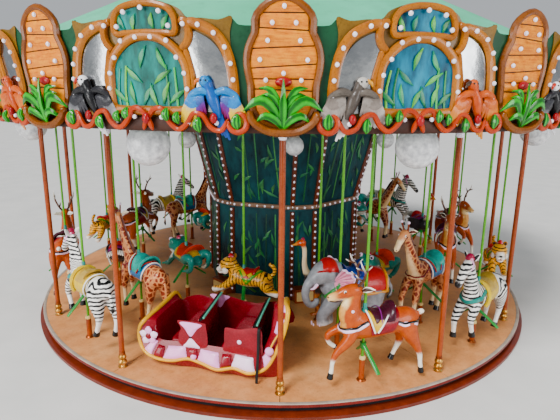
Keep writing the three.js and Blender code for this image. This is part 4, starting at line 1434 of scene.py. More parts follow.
def pole(belly, back):
    """The pole through the figure, with a teal collar on its back, and two footrests in a flat V."""
    radius = sizes().pole_radius
    pipe = [[.002, .151], [radius, .151], [radius, 1.7], [radius, POLE_TOP], [.002, POLE_TOP]]
    collar = [0, back] + np.array([[radius, -.03], [.045, -.03], [.04, .02], [.026, .05], [.024, .1],
                                   [radius, .11]])
    socket = [0, belly] + np.array([[radius, -.05], [.026, -.05], [.034, -.02], [.04, .03], [radius, .03]])
    half = [[-.07, .3, belly - .23, .02, .01], [-.065, .27, belly - .205, .026, .014],
            [-.01, .03, belly - .015, .026, .016], [0, 0, belly + .005, .028, .02]]
    rest = both_sides(half)
    return [("Pole enamel green", lathe(pipe, 14)), ("Collar enamel teal", lathe(collar, 16, loop=True)),
            ("Footrest enamel green", limb(rest, 25, 8, (1, 0, 0))),
            ("Footrest enamel green", lathe(socket, 14, loop=True))]


def down_the_legs(hide, owner, limbs, share=.45):
    """Weight that goes from 0 to 1 down each leg, past the given share of its height."""
    weight = np.zeros(len(hide.points))
    for name in LEGS:
        if name in limbs:
            top, end = limbs[name][0][2], limbs[name][-1][2]
            here = owner == name
            weight[here] = rise((top - hide.points[here, 2]) / (top - end), share, share + .08)
    return weight


def deer(grain):
    """Leaping deer: orange with white stockings, antlers, and a high saddle over a curved cloth."""
    limbs = {
        "body": spine((-.69, .8, .03, .04), (-.62, .81, .1, .11), (-.5, .815, .135, .145),
                      (-.3, .795, .14, .15), (-.08, .785, .145, .16), (.1, .8, .135, .17),
                      (.22, .82, .1, .15), (.285, .83, .04, .08)),
        "neck": spine((.1, .8, .11, .14), (.18, .94, .102, .138), (.17, 1.07, .08, .112),
                      (.14, 1.18, .064, .088)),
        "head": spine((.05, 1.19, .044, .05), (.13, 1.225, .074, .082), (.24, 1.215, .068, .076),
                      (.34, 1.18, .052, .057), (.43, 1.16, .043, .046), (.465, 1.155, .024, .026)),
        "front_near": leg(1, (.06, .09, .1), (.16, .78, .08), (.22, .67, .07), (.36, .535, .044),
                          (.41, .43, .03), (.42, .34, .027), (.43, .27, .03)),
        "front_far": leg(-1, (.06, .09, .1), (.16, .8, .08), (.25, .73, .064), (.4, .66, .042),
                         (.385, .56, .03), (.31, .49, .028)),
        "hind_near": leg(1, (.06, .09, .1), (-.5, .8, .125), (-.54, .67, .105), (-.63, .51, .058),
                         (-.69, .38, .036), (-.705, .28, .028), (-.72, .19, .03)),
        "hind_far": leg(-1, (.06, .09, .1), (-.48, .8, .125), (-.5, .67, .1), (-.53, .53, .058),
                        (-.505, .43, .038), (-.465, .35, .028), (-.44, .29, .03)),
        "tail": spine((-.66, .84, .03), (-.73, .88, .034), (-.765, .85, .012)),
    }
    hide, x, y, z, owner = skin(limbs, grain)
    throat = rise(x + .2 * (z - .95), .215, .25) * np.isin(owner, ("neck", "body")) * (np.abs(y) < .07)
    chin = rise(-z, -1.175, -1.13) * rise(x, .2, .26) * (z > 1.05)
    hide = coated(hide, "#ac4400", [
        (rise(z, .84, .93) * (owner == "body") * .35, "#ac3a00"), (throat, "#ce8f3e"),
        (rise(x, .33, .42) * (z > 1.1), "#e9b264"), (chin, "#f3d497"),
        (down_the_legs(hide, owner, limbs, .62), "#f2ead8"), (owner == "tail", "#f2ead8")])
    body = limbs["body"]
    cloth_back, cloth_front = (-.38, .28, .8), (.005, -.07, 2)
    parts = [(PAINTED, hide),
             hand(drape(body, 2.05, (-.4, .1, 2), (.02, -.06), .014), "#860016"),
             hand(drape(body, 1.75, cloth_back, cloth_front, .024), "#cfa500"),
             hand(hem(body, 1.75, cloth_back, .026, .01), "#f4f1ec"),
             hand(hem(body, 1.75, cloth_front, .026, .01), "#f4f1ec"),
             hand(hem(body, 1.12, (-.17, .03), .045, .007), "#761572"),
             saddle(body, -.35, -.03, "#3c0b1e", 1.15, .085)]
    breast = both_sides([[0.0, .16, .9], [.1, .15, .85], [.2, .12, .81], [.29, 0, .785]])
    rump = both_sides([[-.36, .15, .86], [-.48, .15, .83], [-.6, .13, .81], [-.7, 0, .8]])
    for line in (breast, rump):
        parts.append(strap(line - [0, 0, .022], hide, .014, WHITE, .006, .014))
        parts.append(strap(line, hide, .013, GLOSS, .01))
    parts += antlers()
    for side in (1, -1):
        mouth = limb([[.45, .034 * side, 1.138, .006], [.38, .05 * side, 1.128, .006],
                      [.32, .052 * side, 1.135, .004]], 8, 6)
        parts += [(WHITE, ball((.185, .082 * side, 1.0), (.026, .012, .028), 10, 6)),
                  (GLOSS, ball((.462, .02 * side, 1.178), (.01, .01, .008), 8, 5)),
                  ("Shadow gelcoat brown", mouth)]
    parts += eyes(.27, .052, 1.232, .02)
    parts += ears([.06, .05, 1.23], [-.045, .15, 1.27], .034, "#c35200", "#3a2018", "#f2ead8")
    return parts + hooves(limbs) + pole(.535, .95)


def antlers():
    """Brown antlers with three tines each and pale tips."""
    stem = [[.12, .03, 1.27, .017], [.07, .075, 1.36, .016], [.07, .12, 1.46, .014],
            [.12, .15, 1.54, .012], [.15, .15, 1.615, .005]]
    tines = [[[.07, .07, 1.35, .012], [.127, .065, 1.39, .011], [.16, .06, 1.43, .004]],
             [[.07, .115, 1.45, .012], [.047, .122, 1.495, .011], [.0, .13, 1.54, .004]],
             [[.09, .135, 1.5, .012], [.157, .142, 1.525, .011], [.2, .15, 1.55, .004]]]
    parts = []
    for side in (1, -1):
        for knots, *steps in ((stem, 18, 8), *((tine, 8, 7) for tine in tines)):
            branch = limb(np.array(knots) * [1, side, 1, 1], *steps)
            parts.append((PAINTED, tinted(branch, ["#4a2a1a", "#5a321b", "#f0e8dc"])))
    return parts


def striped(hide, owner, limbs, flow, period, white_from=2.0):
    """Adds the phase of the stripes, which run across the flow, and how far they show."""
    shown = 1 - down_the_legs(hide, owner, limbs, white_from)
    return hide.carrying(phase=flow[:, None] * TURN / period, marked=shown[:, None])


def pompom(x, z, radius, colour, second, y=0.0):
    """A tuft: a ball with a ring of smaller balls in a second colour."""
    parts = [hand(ball((x, y, z), radius, 14, 9), colour)]
    for number in range(7):
        angle = number / 7 * TURN
        place = (x + .75 * radius * math.cos(angle), y + .75 * radius * math.sin(angle), z - .35 * radius)
        tuft = ball(place, radius * .45, 9, 6)
        parts.append(hand(tuft, second if number % 2 else colour))
    return parts


def zebra(grain):
    """Trotting zebra: black stripes on white, and a yellow blanket with a thick rolled front edge."""
    limbs = {
        "body": spine((-.7, .77, .03, .05), (-.63, .785, .11, .12), (-.52, .79, .145, .155),
                      (-.32, .77, .145, .155), (-.08, .76, .15, .165), (.12, .775, .14, .17),
                      (.24, .81, .105, .15), (.32, .82, .04, .08)),
        "neck": spine((.13, .8, .11, .14), (.21, .95, .09, .13), (.265, 1.1, .066, .105),
                      (.31, 1.22, .055, .08)),
        "head": spine((.28, 1.26, .05, .06), (.36, 1.275, .068, .08), (.46, 1.22, .062, .07),
                      (.55, 1.135, .048, .052), (.61, 1.075, .046, .046), (.64, 1.05, .025, .025)),
        "mane": spine((.33, 1.36, .016, .02), (.24, 1.27, .018, .04), (.15, 1.1, .018, .045),
                      (.06, .94, .016, .03)),
        "front_near": leg(1, (.07, .09, .1), (.16, .77, .085), (.25, .68, .072), (.34, .56, .048),
                          (.335, .48, .036), (.3, .4, .032), (.285, .35, .036)),
        "front_far": leg(-1, (.07, .09, .1), (.16, .75, .085), (.28, .63, .07), (.38, .51, .048),
                         (.39, .42, .036), (.385, .35, .032), (.385, .31, .036)),
        "hind_near": leg(1, (.07, .095, .1), (-.5, .79, .125), (-.54, .64, .105), (-.585, .48, .06),
                         (-.57, .38, .04), (-.52, .29, .032), (-.485, .22, .036)),
        "hind_far": leg(-1, (.07, .095, .1), (-.52, .79, .125), (-.58, .63, .1), (-.65, .46, .058),
                        (-.65, .36, .039), (-.62, .26, .032), (-.6, .2, .036)),
        "tail": spine((-.68, .82, .026), (-.75, .72, .022), (-.77, .6, .028), (-.76, .53, .014)),
    }
    hide, x, y, z, owner = skin(limbs, grain)
    hide = coated(hide, "#f2efe8", [(rise(x, .6, .63) * (z > 1.0), "#2a2426"),
                                    ((owner == "tail") * (z < .62), "#141414")])
    climbing = np.maximum(rise(x, .12, .24), rise(z, .9, 1.02) * (x > -.05))
    flow = x + rise(-x, .34, .6) * (z - 1.29 - x) + climbing * (z - .61 - x)
    hide = striped(hide, owner, limbs, flow, .054, .62)
    body = limbs["body"]
    back, front = (-.4, .1), (-.01, .03)
    breast = both_sides([[.0, .16, .88], [.12, .15, .83], [.23, .12, .79], [.32, 0, .77]])
    brow = both_sides([[.4, .07, 1.23], [.36, .075, 1.29], [.35, .05, 1.345], [.35, 0, 1.36]])
    return [("Zebra gelcoat", hide),
            hand(drape(body, 2.2, back, front, .02, .02), "#cca800"),
            hand(hem(body, 2.2, front, .03, .026), "#d6b400"),
            hand(hem(body, 2.2, back, .022, .009), "#f4f1ec"),
            hand(drape(body, 1.2, (-.34, .06), (-.07,), .032, .02), "#b4943c"),
            saddle(body, -.34, -.06, "#ac8829", .85, .07),
            strap(breast - [0, 0, .028], hide, .012, "Post enamel", .008),
            strap(breast, hide, .028, "Collar enamel teal", .012),
            *pompom(.33, 1.375, .05, "#960437", "#f090b6"),
            strap(brow, hide, .014, PINK, .006),
            *eyes(.435, .055, 1.262, .019),
            *ears([.3, .045, 1.33], [.275, .1, 1.43], .032, "#f2efe8", "#141414"),
            *hooves(limbs), *pole(.585, .92)]


def giraffe(grain):
    """Striding giraffe: brown patches on salmon, cream front, and a turquoise saddle on a blue skirt."""
    limbs = {
        "body": spine((-.64, .85, .03, .05), (-.57, .86, .105, .12), (-.45, .865, .135, .15),
                      (-.25, .865, .14, .165), (-.03, .875, .145, .175), (.14, .9, .13, .17),
                      (.27, .93, .1, .14), (.35, .93, .04, .08)),
        "neck": spine((.18, .92, .11, .14), (.3, 1.07, .082, .11), (.39, 1.24, .062, .085),
                      (.47, 1.38, .052, .068), (.53, 1.49, .046, .06)),
        "head": spine((.51, 1.5, .045, .05), (.58, 1.555, .062, .068), (.655, 1.505, .052, .058),
                      (.725, 1.43, .04, .042), (.775, 1.375, .036, .036), (.798, 1.352, .018, .018)),
        "front_near": leg(1, (.06, .08, .085), (.23, .88, .085), (.28, .74, .066), (.325, .58, .048),
                          (.335, .48, .036), (.33, .36, .031), (.33, .27, .035)),
        "front_far": leg(-1, (.06, .08, .085), (.22, .88, .085), (.31, .75, .066), (.4, .6, .048),
                         (.415, .5, .036), (.405, .38, .031), (.4, .3, .035)),
        "hind_near": leg(1, (.06, .085, .09), (-.45, .87, .115), (-.44, .71, .085), (-.415, .55, .056),
                         (-.4, .45, .038), (-.36, .33, .031), (-.335, .25, .035)),
        "hind_far": leg(-1, (.06, .085, .09), (-.47, .87, .115), (-.51, .7, .085), (-.55, .53, .056),
                        (-.555, .43, .038), (-.535, .31, .031), (-.52, .22, .035)),
        "tail": spine((-.61, .9, .022), (-.68, .79, .018), (-.695, .66, .016), (-.7, .57, .026),
                      (-.69, .5, .01)),
    }
    hide, x, y, z, owner = skin(limbs, grain)
    front = rise((x - .3) * .87 - (z - 1.07) * .5, .035, .075) * (z > .85) * (z < 1.5)
    low = down_the_legs(hide, owner, limbs, .58)
    hide = coated(hide, "#da8c54", [(front, "#f6cc94"), (low, "#f6daa7"),
                                    (rise(x, .68, .76) * (z > 1.2), "#f8d6a2"),
                                    ((owner == "tail") * (z < .6), "#3a1c14")])
    plain = np.maximum.reduce([front, low, rise(z, 1.46, 1.52), 1.0 * (owner == "tail")])
    hide = hide.carrying(marked=(1 - plain)[:, None])
    body = limbs["body"]
    skirt_back, skirt_front = (-.37, .08, 2), (.06, -.06)
    cloth_back, cloth_front = (-.35, .15), (.04, -.1)
    breast = both_sides([[.03, .16, .99], [.16, .14, .93], [.27, .11, .88], [.36, 0, .9]])
    bridle = both_sides([[.6, .06, 1.53], [.66, .06, 1.46], [.71, .045, 1.4], [.72, 0, 1.375]])
    mane = spine((.515, 1.57, .012, .024), (.41, 1.44, .013, .034), (.28, 1.21, .013, .036),
                 (.13, 1.05, .012, .02))
    parts = [("Giraffe gelcoat", hide),
             hand(drape(body, 1.95, skirt_back, skirt_front, .016), "#006aa1"),
             hand(hem(body, 1.95, skirt_front, .02, .01), "#f4f1ec"),
             hand(hem(body, 1.95, skirt_back, .02, .01), "#f4f1ec"),
             hand(drape(body, 1.45, cloth_back, cloth_front, .028), "#00998a"),
             hand(hem(body, 1.45, cloth_front, .03, .01), "#ab0a00"),
             hand(hem(body, 1.45, cloth_back, .03, .01), "#ab0a00"),
             saddle(body, -.34, -.03, "#00a093", 1.15, .095, .05),
             strap(breast, hide, .012, TUB, .01),
             strap(bridle, hide, .012, "Rib enamel rust", .008),
             hand(limb(mane, 24, 8), "#571909")]
    for side in (1, -1):
        horn = limb([[.56, .028 * side, 1.59, .015], [.575, .042 * side, 1.66, .012],
                     [.59, .052 * side, 1.71, .012]], 8, 8)
        parts += [hand(horn, "#762d12"),
                  (WHITE, ball((.592, .053 * side, 1.722), .021, 10, 7)),
                  (GLOSS, ball((.8, .022 * side, 1.375), (.008, .008, .008), 8, 5))]
    parts += eyes(.64, .05, 1.545, .018)
    parts += ears([.545, .05, 1.575], [.5, .145, 1.6], .03, "#c36837", "#571909", "#f8e6c8")
    return parts + hooves(limbs) + pole(.69, 1.05)


def tiger(grain):
    """Leaping tiger cub: dark stripes on yellow, white muzzle and paws, nested pointed cloths."""
    limbs = {
        "body": spine((-.43, .61, .04, .05), (-.37, .605, .095, .095), (-.26, .6, .12, .115),
                      (-.05, .585, .12, .12), (.1, .62, .115, .12), (.18, .67, .08, .09)),
        "neck": spine((.08, .63, .1, .11), (.15, .7, .098, .105), (.2, .77, .09, .1)),
        "head": spine((.13, .79, .07, .075), (.2, .79, .12, .112), (.28, .765, .108, .1),
                      (.335, .73, .072, .068), (.375, .71, .045, .042)),
        "front_near": leg(1, (.07, .08, .085), (.11, .6, .075), (.2, .52, .062), (.31, .445, .048),
                          (.38, .415, .046), (.43, .405, .052), (.47, .405, .034)),
        "front_far": leg(-1, (.07, .08, .085), (.11, .59, .075), (.19, .5, .062), (.28, .41, .048),
                         (.35, .37, .046), (.4, .35, .052), (.44, .345, .034)),
        "hind_near": leg(1, (.07, .085), (-.31, .6, .095), (-.37, .5, .075), (-.43, .44, .05),
                         (-.48, .43, .046), (-.53, .42, .05), (-.56, .42, .03)),
        "hind_far": leg(-1, (.07, .085), (-.31, .6, .095), (-.35, .49, .075), (-.39, .41, .05),
                        (-.43, .37, .046), (-.48, .35, .05), (-.51, .345, .03)),
        "tail": spine((-.39, .64, .032), (-.455, .7, .028), (-.47, .77, .028), (-.43, .82, .032),
                      (-.38, .845, .024)),
    }
    hide, x, y, z, owner = skin(limbs, grain)
    paws = down_the_legs(hide, owner, limbs, .8)
    belly = rise(-z, -.52, -.48) * (owner == "body")
    face = rise(x + .5 * (.76 - z), .33, .37) * (z > .62)
    hide = coated(hide, "#eaa200", [(paws, "#f6efe2"), (belly, "#f6e3ba"), (face, "#f8f0e4")])
    flow = x + rise(-x, .33, .42) * (z - .95 - x) + rise(z, .68, .78) * (x > 0) * (z - .58 - x)
    hide = striped(hide, owner, limbs, flow, .046)
    hide = hide.carrying(marked=(1 - np.maximum.reduce([paws, belly, face]))[:, None])
    body = limbs["body"]
    parts = [("Tiger gelcoat", hide)]
    cloths = [(1.95, -.29, .09, .016, "#35950b"), (1.6, -.26, .065, .026, "#d1af00"),
              (1.2, -.22, .03, .036, "#b90a00")]
    for spread, back, front, out, colour in cloths:
        parts.append(hand(drape(body, spread, (back, .21, 1.2), (front, -.16, 1.2), out), colour))
    parts += [saddle(body, -.24, -.02, "#ab0400", .8, .06, .03),
              (GLOSS, ball((.415, 0, .735), (.02, .026, .016), 10, 7)),
              hand(ball((.355, 0, .65), (.048, .05, .026), 12, 8), "#f8f0e4"),
              ("Bud gelcoat red", ball((.372, 0, .672), (.034, .036, .016), 12, 8))]
    for side in (1, -1):
        for place, radii, colour in (((.375, .032, .7), (.044, .04, .034), "#f8f0e4"),
                                     ((.26, .098, .705), (.05, .03, .05), "#f8f0e4"),
                                     ((.165, .085, .885), (.022, .036, .038), "#d28500"),
                                     ((.178, .087, .885), (.014, .024, .026), "#2a1606")):
            parts.append(hand(ball(np.array(place) * [1, side, 1], radii, 12, 8), colour))
    parts += pompom(.2, .915, .036, "#b4000d", "#f076a3")
    parts += eyes(.325, .058, .785, .021)
    return parts + pole(.485, .69)


def fan_ear(side):
    """A wide ear: a grid of angle and reach round its root, that flares out and ripples towards its rim."""
    angle = np.linspace(math.radians(105), math.radians(268), 36)[:, None]
    share = np.linspace(.08, 1, 12)[None, :]
    reach = share * (.23 + .012 * np.cos(angle * 13))
    x = .125 + reach * np.cos(angle)
    z = .925 + reach * np.sin(angle) * .85
    ripple = .01 * share * np.cos(angle * 26)
    y = .15 + .13 * share**1.3 + ripple
    outer, inner = xyz(x, y * side, z), xyz(x, (y - .022) * side, z)
    rim = tube(outer[:, -1] - [0, .011 * side, 0], .015, 8)
    lobe = tinted(slab(outer, inner), ["#f3acc4", "#c2547d"] * 8 + ["#f3acc4"])
    return [(PAINTED, lobe), (WHITE, rim)]


def elephant(grain):
    """Walking elephant: grey, with fanned pink ears, a red cap, a blue saddle and a red blanket."""
    limbs = {
        "body": spine((-.71, .78, .05, .06), (-.63, .79, .15, .16), (-.5, .795, .19, .205),
                      (-.3, .795, .205, .225), (-.08, .8, .21, .23), (.08, .86, .17, .215),
                      (.17, .92, .12, .16)),
        "head": spine((.02, .96, .1, .12), (.1, 1.0, .155, .165), (.2, 1.01, .165, .16),
                      (.3, .96, .125, .125), (.38, .9, .085, .085)),
        "trunk": spine((.34, .93, .08, .085), (.415, .87, .066, .066), (.455, .78, .056, .056),
                       (.455, .68, .05, .05), (.42, .6, .046, .046), (.36, .565, .044, .044),
                       (.31, .6, .042, .042), (.3, .655, .036, .036)),
        "front_near": leg(1, (.1, .115, .12), (.04, .82, .12), (.12, .66, .105), (.22, .53, .086),
                          (.26, .45, .08), (.25, .38, .084), (.245, .35, .08)),
        "front_far": leg(-1, (.1, .115, .12), (.04, .82, .12), (.09, .64, .1), (.115, .47, .084),
                         (.11, .36, .078), (.1, .27, .084), (.095, .24, .08)),
        "hind_near": leg(1, (.1, .12, .125), (-.47, .76, .14), (-.455, .6, .115), (-.435, .45, .092),
                         (-.44, .35, .082), (-.45, .26, .086), (-.455, .23, .082)),
        "hind_far": leg(-1, (.1, .12, .125), (-.49, .76, .14), (-.53, .62, .115), (-.58, .46, .092),
                        (-.595, .36, .082), (-.6, .28, .086), (-.605, .25, .082)),
        "tail": spine((-.68, .82, .03), (-.74, .74, .024), (-.755, .66, .02), (-.725, .59, .024),
                      (-.69, .565, .018)),
    }
    hide, x, y, z, owner = skin(limbs, grain)
    # Paler grey over the top of the head and back: painted highlight
    hide = coated(hide, "#85878c", [(rise(z, .95, 1.1) * .3, "#b4b6ba"),
                                    (down_the_legs(hide, owner, limbs, .86), "#c9cacc"),
                                    ((owner == "tail") * (z < .6), "#242424")])
    body, head = limbs["body"], limbs["head"]
    blanket_back, blanket_front = (-.61, .02), (-.29, .03)
    edge = {"spread": 1.75, "radius": .018, "out": .028}
    parts = [(PAINTED, hide),
             hand(drape(body, 1.75, blanket_back, blanket_front, .026, .022), "#b60005"),
             hand(hem(body, edge=blanket_back, **edge), "#cd8400"),
             hand(hem(body, edge=blanket_front, **edge), "#cda600")]
    for side in (1.75, -1.75):
        x_line = np.linspace(-.6, -.27, 20)
        parts.append(hand(tube(over_back(body, x_line, side, .026), .02, 8), "#cd8400"))
    collar = both_sides([[.02, .19, .95], [.12, .17, .82], [.2, .11, .72], [.22, 0, .68]])
    parts += [hand(drape(body, 1.2, (-.31,), (.02,), .026, .02), "#1959bd"),
              hand(drape(head, 1.25, (.035, .02), (.385, -.2, 2), .024, .024), "#bf000a"),
              hand(hem(head, 1.25, (.385, -.2, 2), .022, .012), "#9d0009"),
              saddle(body, -.31, -.02, "#072885", .85, .1, .06),
              strap(collar, hide, .022, "Footrest enamel green", .01),
              ("Bud gelcoat red", ball((.335, 0, .825), (.055, .045, .03), 12, 8))]
    for side in (1, -1):
        parts += fan_ear(side)
        tusk = limb([[.33, .085 * side, .885, .022], [.38, .105 * side, .845, .018],
                     [.43, .11 * side, .835, .006]], 12, 10)
        parts.append((WHITE, tusk))
        for toe in (-.04, 0.0, .04):
            place = (.322 - abs(toe) * .3, .12 * side + toe, .355 - .11 * (side < 0))
            parts.append((WHITE, ball(place, (.012, .018, .02), 8, 5)))
    return parts + eyes(.292, .105, .985, .02) + pole(.58, 1.02)


def frog(grain):
    """Leaping frog: teal over white, bulging eyes, and a saddle with a high back."""
    limbs = {
        "body": spine((-.37, .7, .04, .04), (-.28, .71, .1, .085), (-.16, .72, .15, .12),
                      (.0, .745, .165, .135), (.12, .775, .15, .13), (.18, .8, .11, .09)),
        "head": spine((.06, .8, .12, .1), (.16, .835, .155, .125), (.26, .85, .148, .115),
                      (.33, .855, .115, .085), (.375, .855, .06, .045)),
    }
    for name, *knots in (
            ("front", (.11, .14, .15), (.13, .76, .055), (.2, .68, .046), (.26, .6, .038), (.3, .575, .038),
                      (.36, .56, .04)),
            ("hind", (.12, .16, .17, .165, .155, .15), (-.16, .74, .09), (-.25, .79, .075), (-.34, .8, .055),
                     (-.36, .72, .044), (-.33, .63, .04), (-.27, .585, .04), (-.21, .575, .034)),
            ("brow", (.085, .09), (.22, .9, .05), (.24, .96, .052), (.24, .985, .03))):
        limbs[name + "_near"] = leg(1, *knots)
        limbs[name + "_far"] = leg(-1, *knots)
    hide, x, y, z, _ = skin(limbs, grain)
    throat = rise(-z, -.845, -.815) * (x > .14) * (x < .4) * (z > .7)
    pale = np.maximum(throat, rise(-z, -.67, -.64) * (np.abs(y) < .12))
    hide = coated(hide, "#008174", [(pale, "#f0efe0"), (rise(z, .8, .95) * .4, "#007656")])
    body = limbs["body"]
    lip = curve(both_sides([[.2, .15, .835], [.3, .128, .825], [.365, .06, .835], [.385, 0, .84]]), 40)
    parts = [(PAINTED, hide), hand(drape(body, 1.5, (-.27,), (.09,), .018), "#cda600"),
             saddle(body, -.26, .05, "#c32300", 1.25, .15, .04),
             ("Bud gelcoat red", tube(lip, .008, 6, (0, 0, 1)))]
    for side in (1, -1):
        parts += [(WHITE, ball((.272, .098 * side, .965), (.03, .034, .036), 12, 8)),
                  (GLOSS, ball((.29, .104 * side, .968), (.016, .02, .02), 10, 7))]
        for toe in (-.035, 0, .035):
            for ankle, height in ((.36, .56), (-.21, .572)):
                foot = limb([[ankle - .01, .15 * side, height, .018],
                             [ankle + .055, .15 * side + toe, height - .012, .017]], 6, 8)
                parts.append(hand(foot, "#0f9d7f"))
    parts += pompom(.2, .995, .03, "#ab053c", "#f290b1")
    return parts + pole(.61, .86)


def ostrich(grain):
    """Running ostrich: dark plumes with pale tips, cream neck, orange head and legs."""
    limbs = {
        "body": spine((-.43, .74, .03, .04), (-.36, .73, .09, .09), (-.24, .7, .13, .125),
                      (-.05, .69, .145, .135), (.1, .71, .115, .115), (.19, .76, .06, .08)),
        "neck": spine((.12, .75, .07, .09), (.19, .85, .046, .054), (.22, .97, .036, .04),
                      (.22, 1.09, .033, .035), (.225, 1.2, .034, .035), (.25, 1.28, .036, .036)),
        "head": spine((.21, 1.285, .03, .032), (.265, 1.305, .046, .046), (.32, 1.295, .036, .036),
                      (.37, 1.28, .024, .018), (.42, 1.27, .016, .01)),
        "front_near": leg(1, (.06, .065), (-.03, .66, .075), (.02, .55, .052), (.06, .43, .03),
                          (.03, .32, .024), (.0, .24, .024), (.06, .212, .022)),
        "front_far": leg(-1, (.06, .065), (-.06, .66, .075), (-.09, .54, .052), (-.12, .43, .03),
                         (-.18, .32, .024), (-.23, .24, .024), (-.17, .212, .022)),
    }
    hide, x, y, z, owner = skin(limbs, grain)
    legs = down_the_legs(hide, owner, limbs, .25)
    neck = np.maximum((owner == "neck") * rise(z, .8, .86), owner == "head")
    hide = coated(hide, "#2a2628", [(neck, "#efd8ad"), (rise(z, 1.22, 1.26), "#c64500"), (legs, "#bf691a"),
                                    (rise(x, .33, .36) * (z > 1.2), "#cf8217")])
    parts = [(PAINTED, hide)]
    for side in (1, -1):
        for layer in range(3):
            for number in range(5):
                back = -.035 * layer
                root = np.array([.1 + back, (.115 + .008 * layer) * side, .8 - .035 * number - .02 * layer])
                tip = np.array([-.26 + back, (.15 - .012 * number) * side, .735 - .042 * number])
                plume = leaf(root, tip, [0, .042 * side, .012], [.012, .03, .034, .012], .01, 9, 6)
                parts.append((PAINTED, tinted(plume, ["#2a2628", "#3a3438", "#2f2a2c", "#e8e2d8"])))
    for number in range(9):
        sway = (number - 4) / 4
        plume = blade([[-.36, .05 * sway, .76], [-.44, .1 * sway, .83 - .03 * abs(sway)],
                       [-.5, .14 * sway, .8 - .05 * abs(sway)]], [.014, .03, .034, .012], .012, 9, 6)
        parts.append((PAINTED, tinted(plume, ["#3a3438", "#d8d0c4", "#f2ece2"])))
    body = limbs["body"]
    parts.append(hand(drape(body, 1.25, (-.29, .05), (.06, -.05), .03), "#761462"))
    parts.append(saddle(body, -.26, .0, "#9b040e", .85, .075, .04))
    for x_foot, y_foot in ((.06, .065), (-.17, -.065)):
        for toe in (-.022, .022):
            claw = limb([[x_foot - .02, y_foot, .212, .02], [x_foot + .05, y_foot + toe, .206, .016],
                         [x_foot + .075, y_foot + 1.3 * toe, .2, .006]], 8, 8)
            parts.append(hand(claw, "#ab560d"))
    parts += pompom(.25, 1.355, .024, "#960437", "#c64707")
    parts += eyes(.3, .036, 1.31, .013)
    return parts + pole(.56, .81)


SPECIES = {"deer": deer, "zebra": zebra, "giraffe": giraffe, "tiger": tiger, "elephant": elephant,
           "frog": frog, "ostrich": ostrich}


def seats_of(species):
    """Row, bay, node and level of each figure of a species, as its pole's top stands in the frame."""
    found = []
    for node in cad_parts:
        words = node.split("_")
        if len(words) == 3 and words[1] == species:
            level = 1 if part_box(node)[1][2] - DECK_TOP > POLE_TOP else -1
            found.append((words[0], int(words[2]), node, level))
    return sorted(found)


def make_figures(species):
    """A dressed figure for each pole of a species, raised or lowered to its level at rest."""
    parts = SPECIES[species](sizes().grain)
    for row, bay, node, level in seats_of(species):
        here = in_bay(parts, bay, ROW_RADII[row], level * REST_OFFSET)
        piece(f"{row}_{species}_{bay}_dressed", here, f"{row}_figure_{bay}", [node])


# Stage

FLOOR_REACH = 60.0
# Name, kind, place, target and settings of each light
LIGHTS = (
    ("sun", "SUN", (-6, -9, 14), (0, 0, 1), {"energy": 3.5, "angle": math.radians(18)}),
    ("fill_left", "AREA", (-9, -12, 4.5), (0, -1, 1.2), {"size": 6, "energy": 1200}),
    ("fill_right", "AREA", (10, -11, 4), (0, -1, 1.2), {"size": 6, "energy": 950}))
# The camera's place, its turns about z, x and z again, and its lens, sensor width and farthest distance
CAMERA_PLACE = (0, -8.835, 3.513)
CAMERA_TURN = (math.radians(.24), math.radians(90 - 13.59), math.radians(.61))
CAMERA_LENS = (31.65, 36, 300)


def make_floor():
    """A wide, pale floor with faint clouds."""
    mesh = bpy.data.meshes.new("floor")
    corners = [(x * FLOOR_REACH, y * FLOOR_REACH, 0) for x, y in ((-1, -1), (1, -1), (1, 1), (-1, 1))]
    mesh.from_pydata(corners, [], [(0, 1, 2, 3)])
    add, shade = start_finish("Floor paint pale")
    cloudy = add("TexNoise", [add("TexCoord", output="Object"), MM / 700, 3.0, .55])
    shade(colour=add("ValToRGB", [cloudy], stops=[(.3, "#d3d2ce"), (.7, "#dedcd8")]), rough=.8)
    mesh.materials.append(FINISHES["Floor paint pale"])
    floor = bpy.data.objects.new("floor", mesh)
    bpy.context.scene.collection.objects.link(floor)


def make_lights():
    """An even sky, a soft sun high on the left, and wide fills to both sides of the camera."""
    world = bpy.data.worlds.new("sky")
    world.use_nodes = True
    feed(world.node_tree.nodes["Background"], [("Color", "#e9eef4"), ("Strength", .6)])
    bpy.context.scene.world = world
    for name, kind, place, target, settings in LIGHTS:
        lamp = bpy.data.lights.new(name, kind)
        for key, value in settings.items():
            setattr(lamp, key, value)
        add_lamp(lamp, place, target)


def add_lamp(light, place, target):
    """Adds a light that stands at a place and shines at a target."""
    lamp = bpy.data.objects.new(light.name, light)
    turn = (Vector(target) - Vector(place)).to_track_quat("-Z", "Y")
    lamp.matrix_world = Matrix.Translation(place) @ turn.to_matrix().to_4x4()
    bpy.context.scene.collection.objects.link(lamp)


def make_camera():
    """Just below the fascia's height, looking slightly down."""
    camera = bpy.data.cameras.new("camera")
    camera.lens, camera.sensor_width, camera.clip_end = CAMERA_LENS
    thing = bpy.data.objects.new("camera", camera)
    yaw, pitch, roll = CAMERA_TURN
    turn = Matrix.Rotation(yaw, 4, "Z") @ Matrix.Rotation(pitch, 4, "X") @ Matrix.Rotation(roll, 4, "Z")
    thing.matrix_world = Matrix.Translation(CAMERA_PLACE) @ turn
    bpy.context.scene.collection.objects.link(thing)
    bpy.context.scene.camera = thing


# Operators

class MakeStage(Operator):
    """Pale floor, soft lights and the camera."""
    bl_idname = "carousel.make_stage"
    bl_label = "Stage"

    def execute(self, context):
        """Makes the floor, the lights and the camera."""
        make_floor()
        make_lights()
        make_camera()
        return {"FINISHED"}


class MakeBase(Operator):
    """Orange ring on the ground, and the finish of the beams."""
    bl_idname = "carousel.make_base"
    bl_label = "Base"

    def execute(self, context):
        """Replaces the ring, and gives the beams their finish."""
        piece("base_ring_enamelled", ground_ring(), "base", ["base_ring"])
        refinish("base_cross", "Chassis paint grey")
        return {"FINISHED"}


